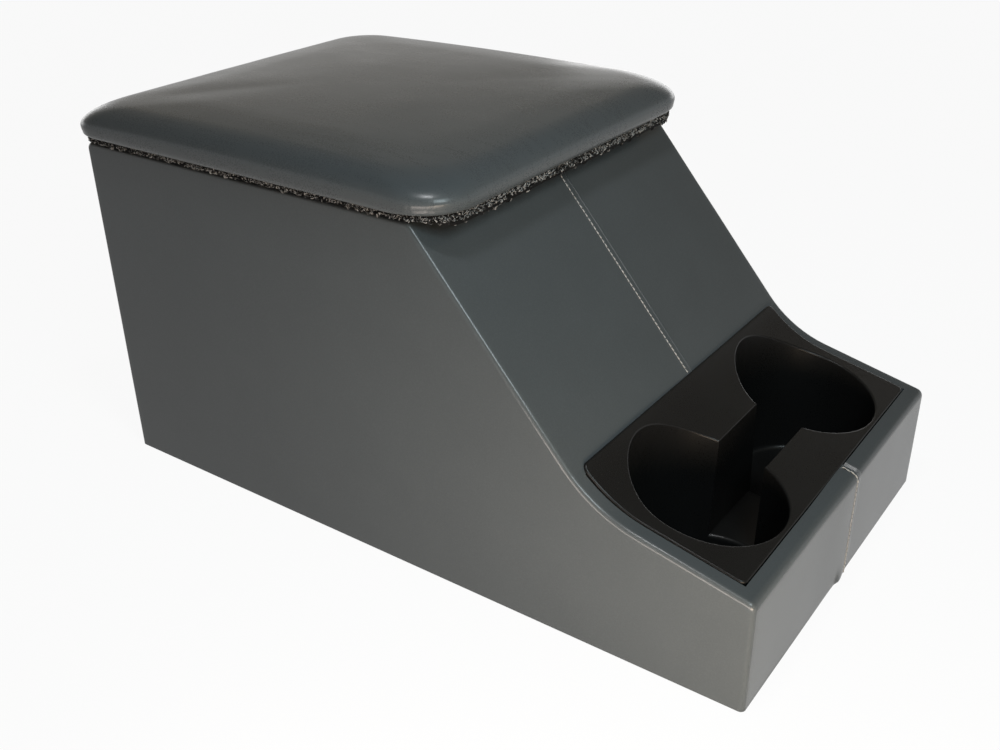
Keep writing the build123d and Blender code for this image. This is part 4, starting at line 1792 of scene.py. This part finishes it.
@dataclass
class Studio:
    """Pale paper, soft lamps and the camera at the photograph's place."""

    camera_place: Point = (-0.55853, -0.39518, 0.43843)
    azimuth: float = -54.279
    elevation: float = 28.423
    roll: float = -0.899
    lens: float = 40.995
    sensor: float = 36.0
    near_clip: float = 0.01
    floor_half: float = 9.0
    floor_drop: float = 0.0003
    ambient: Colour = (0.95, 0.97, 1.0)
    ambient_strength: float = 0.05
    ceiling: Colour = (0.3, 0.265, 0.22)
    ceiling_from: float = 0.08
    ceiling_to: float = 0.34
    lamps: tuple[Lamp, ...] = (
        Lamp("key_left", (-0.36, -0.28, 0.055), (-0.13, -0.2, 0.03), (0.45, 0.1), 2.2, (1.0, 0.87, 0.79)),
        Lamp("key_front", (-0.34, -0.44, 0.07), (-0.1, -0.24, 0.04), (0.2, 0.1), 1.0, (1.0, 0.74, 0.45)),
        Lamp("strip_lamp", (-0.3, -0.48, 0.58), (-0.05, -0.07, 0.15), (0.18, 0.3), 3.3, (0.8, 0.95, 1.0)),
        Lamp("top_lamp", (-0.25, -0.15, 0.92), (-0.11, -0.05, 0.24), (0.12, 0.06), 2.6, (0.96, 0.98, 1.0)),
        Lamp("warm_rear", (0.75, 0.75, 0.55), (0.0, 0.1, 0.25), (1.0, 0.6), 0.1, (1.0, 0.66, 0.25)),
        Lamp("fill_right", (3.2, 0.6, 0.36), (0.13, 0.0, 0.1), (2.4, 0.65), 11.0),
        Lamp("fill_rear", (0.4, 3.2, 0.36), (0.0, 0.24, 0.1), (2.4, 0.65), 11.0),
    )

    def build(self) -> None:
        """Set up the floor, the light and the camera."""
        self._floor()
        for lamp in self.lamps:
            lamp.light()
        self._world()
        self._camera()

    def _floor(self) -> None:
        """Lay the paper."""
        bm = bmesh.new()
        bmesh.ops.create_grid(bm, x_segments=1, y_segments=1, size=self.floor_half)
        floor = new_object("studio_floor", mesh_from("studio_floor", bm))
        floor.location.z = -self.floor_drop
        dress(floor, StudioFloor().material())

    def _world(self) -> None:
        """Make the world white where it is seen, and a soft even light elsewhere."""
        world = bpy.data.worlds.new("studio_world")
        world.use_nodes = True
        bpy.context.scene.world = world
        graph = NodeGraph(world.node_tree)
        even = {"Color": (*self.ambient, 1.0), "Strength": self.ambient_strength}
        soft = graph.node("ShaderNodeBackground", inputs=even)
        white = graph.node("ShaderNodeBackground", inputs={"Color": self._room(graph), "Strength": 1.0})
        either = graph.node("ShaderNodeMixShader", inputs={0: graph.seen_rays(), 1: soft, 2: white})
        graph.node("ShaderNodeOutputWorld", inputs={"Surface": either})

    def _room(self, graph: NodeGraph) -> Value:
        """Colour the room: white, but for a dimmer ceiling in what glossy surfaces show.

        Args:
            graph: The world's tree.

        Returns:
            The colour.
        """
        way = graph.out(graph.node("ShaderNodeTexCoord"), "Generated")
        up = graph.out(graph.node("ShaderNodeSeparateXYZ", inputs={0: way}), "Z")
        rise = graph.node(
            "ShaderNodeMapRange",
            {"interpolation_type": "SMOOTHSTEP"},
            {"Value": up, "From Min": self.ceiling_from, "From Max": self.ceiling_to},
        )
        glossy = graph.out(graph.node("ShaderNodeLightPath"), "Is Glossy Ray")
        return graph.mix(graph.out(rise) * glossy, WHITE, self.ceiling)

    def _camera(self) -> None:
        """Stand the camera where the photograph was taken."""
        turn, rise, tilt = (math.radians(angle) for angle in (self.azimuth, self.elevation, self.roll))
        back = Vector((math.sin(turn) * math.cos(rise), -math.cos(turn) * math.cos(rise), math.sin(rise)))
        level = Vector((math.cos(turn), math.sin(turn), 0.0))
        upright = back.cross(level)
        right = level * math.cos(tilt) + upright * math.sin(tilt)
        up = upright * math.cos(tilt) - level * math.sin(tilt)
        data = bpy.data.cameras.new("photo_camera")
        data.lens = self.lens
        data.sensor_width = self.sensor
        data.clip_start = self.near_clip
        camera = bpy.data.objects.new("photo_camera", data)
        axes = Matrix((right, up, back)).transposed().to_4x4()
        camera.matrix_world = Matrix.Translation(self.camera_place) @ axes
        bpy.context.scene.collection.objects.link(camera)
        bpy.context.scene.camera = camera


def main() -> None:
    """Build every piece and light the scene."""
    logging.basicConfig(level=logging.INFO, format="%(name)s %(message)s")
    bpy.context.scene.view_settings.view_transform = "Standard"
    rows = RowTree()
    board = Board().material()
    softwood = Board("softwood", (0.42, 0.27, 0.13), (0.66, 0.48, 0.28), (60.0, 500.0, 500.0))
    yellow = Steel("steel_yellow", (0.42, 0.35, 0.2), (0.6, 0.52, 0.33))
    felt = Yarn("lining_yarn", (0.014, 0.014, 0.015), (0.045, 0.045, 0.046), (0.13, 0.13, 0.13))
    looped = Carpet(Yarn().material(), Body.LID, Slot.LID_CARPET)
    felted = Carpet(felt.material(), Body.BOX, Slot.BIN_CARPET)
    BoxCovers(Vinyl().material(), Thread().material(), rows).build()
    PaddedLid(Vinyl("vinyl_lid", rough=0.26, streak=0.4).material(), board).build()
    CarpetWork(PileTree(), looped, felted).build()
    PianoHinge(Steel().material(), yellow.material(), rows).build()
    dress_nodes(["cup_tray"], TrayPlastic().material())
    carcass = ("base_board", "front_board", "rear_board", "slope_board", "partition_board")
    dress_nodes([*carcass, "left_side_board", "right_side_board"], board)
    dress_nodes(["left_tray_cleat", "right_tray_cleat"], softwood.material())
    dress_nodes(["carcass_screws"], replace(yellow, name="steel_carcass").material())
    Studio().build()


if __name__ == "__main__":
    main()
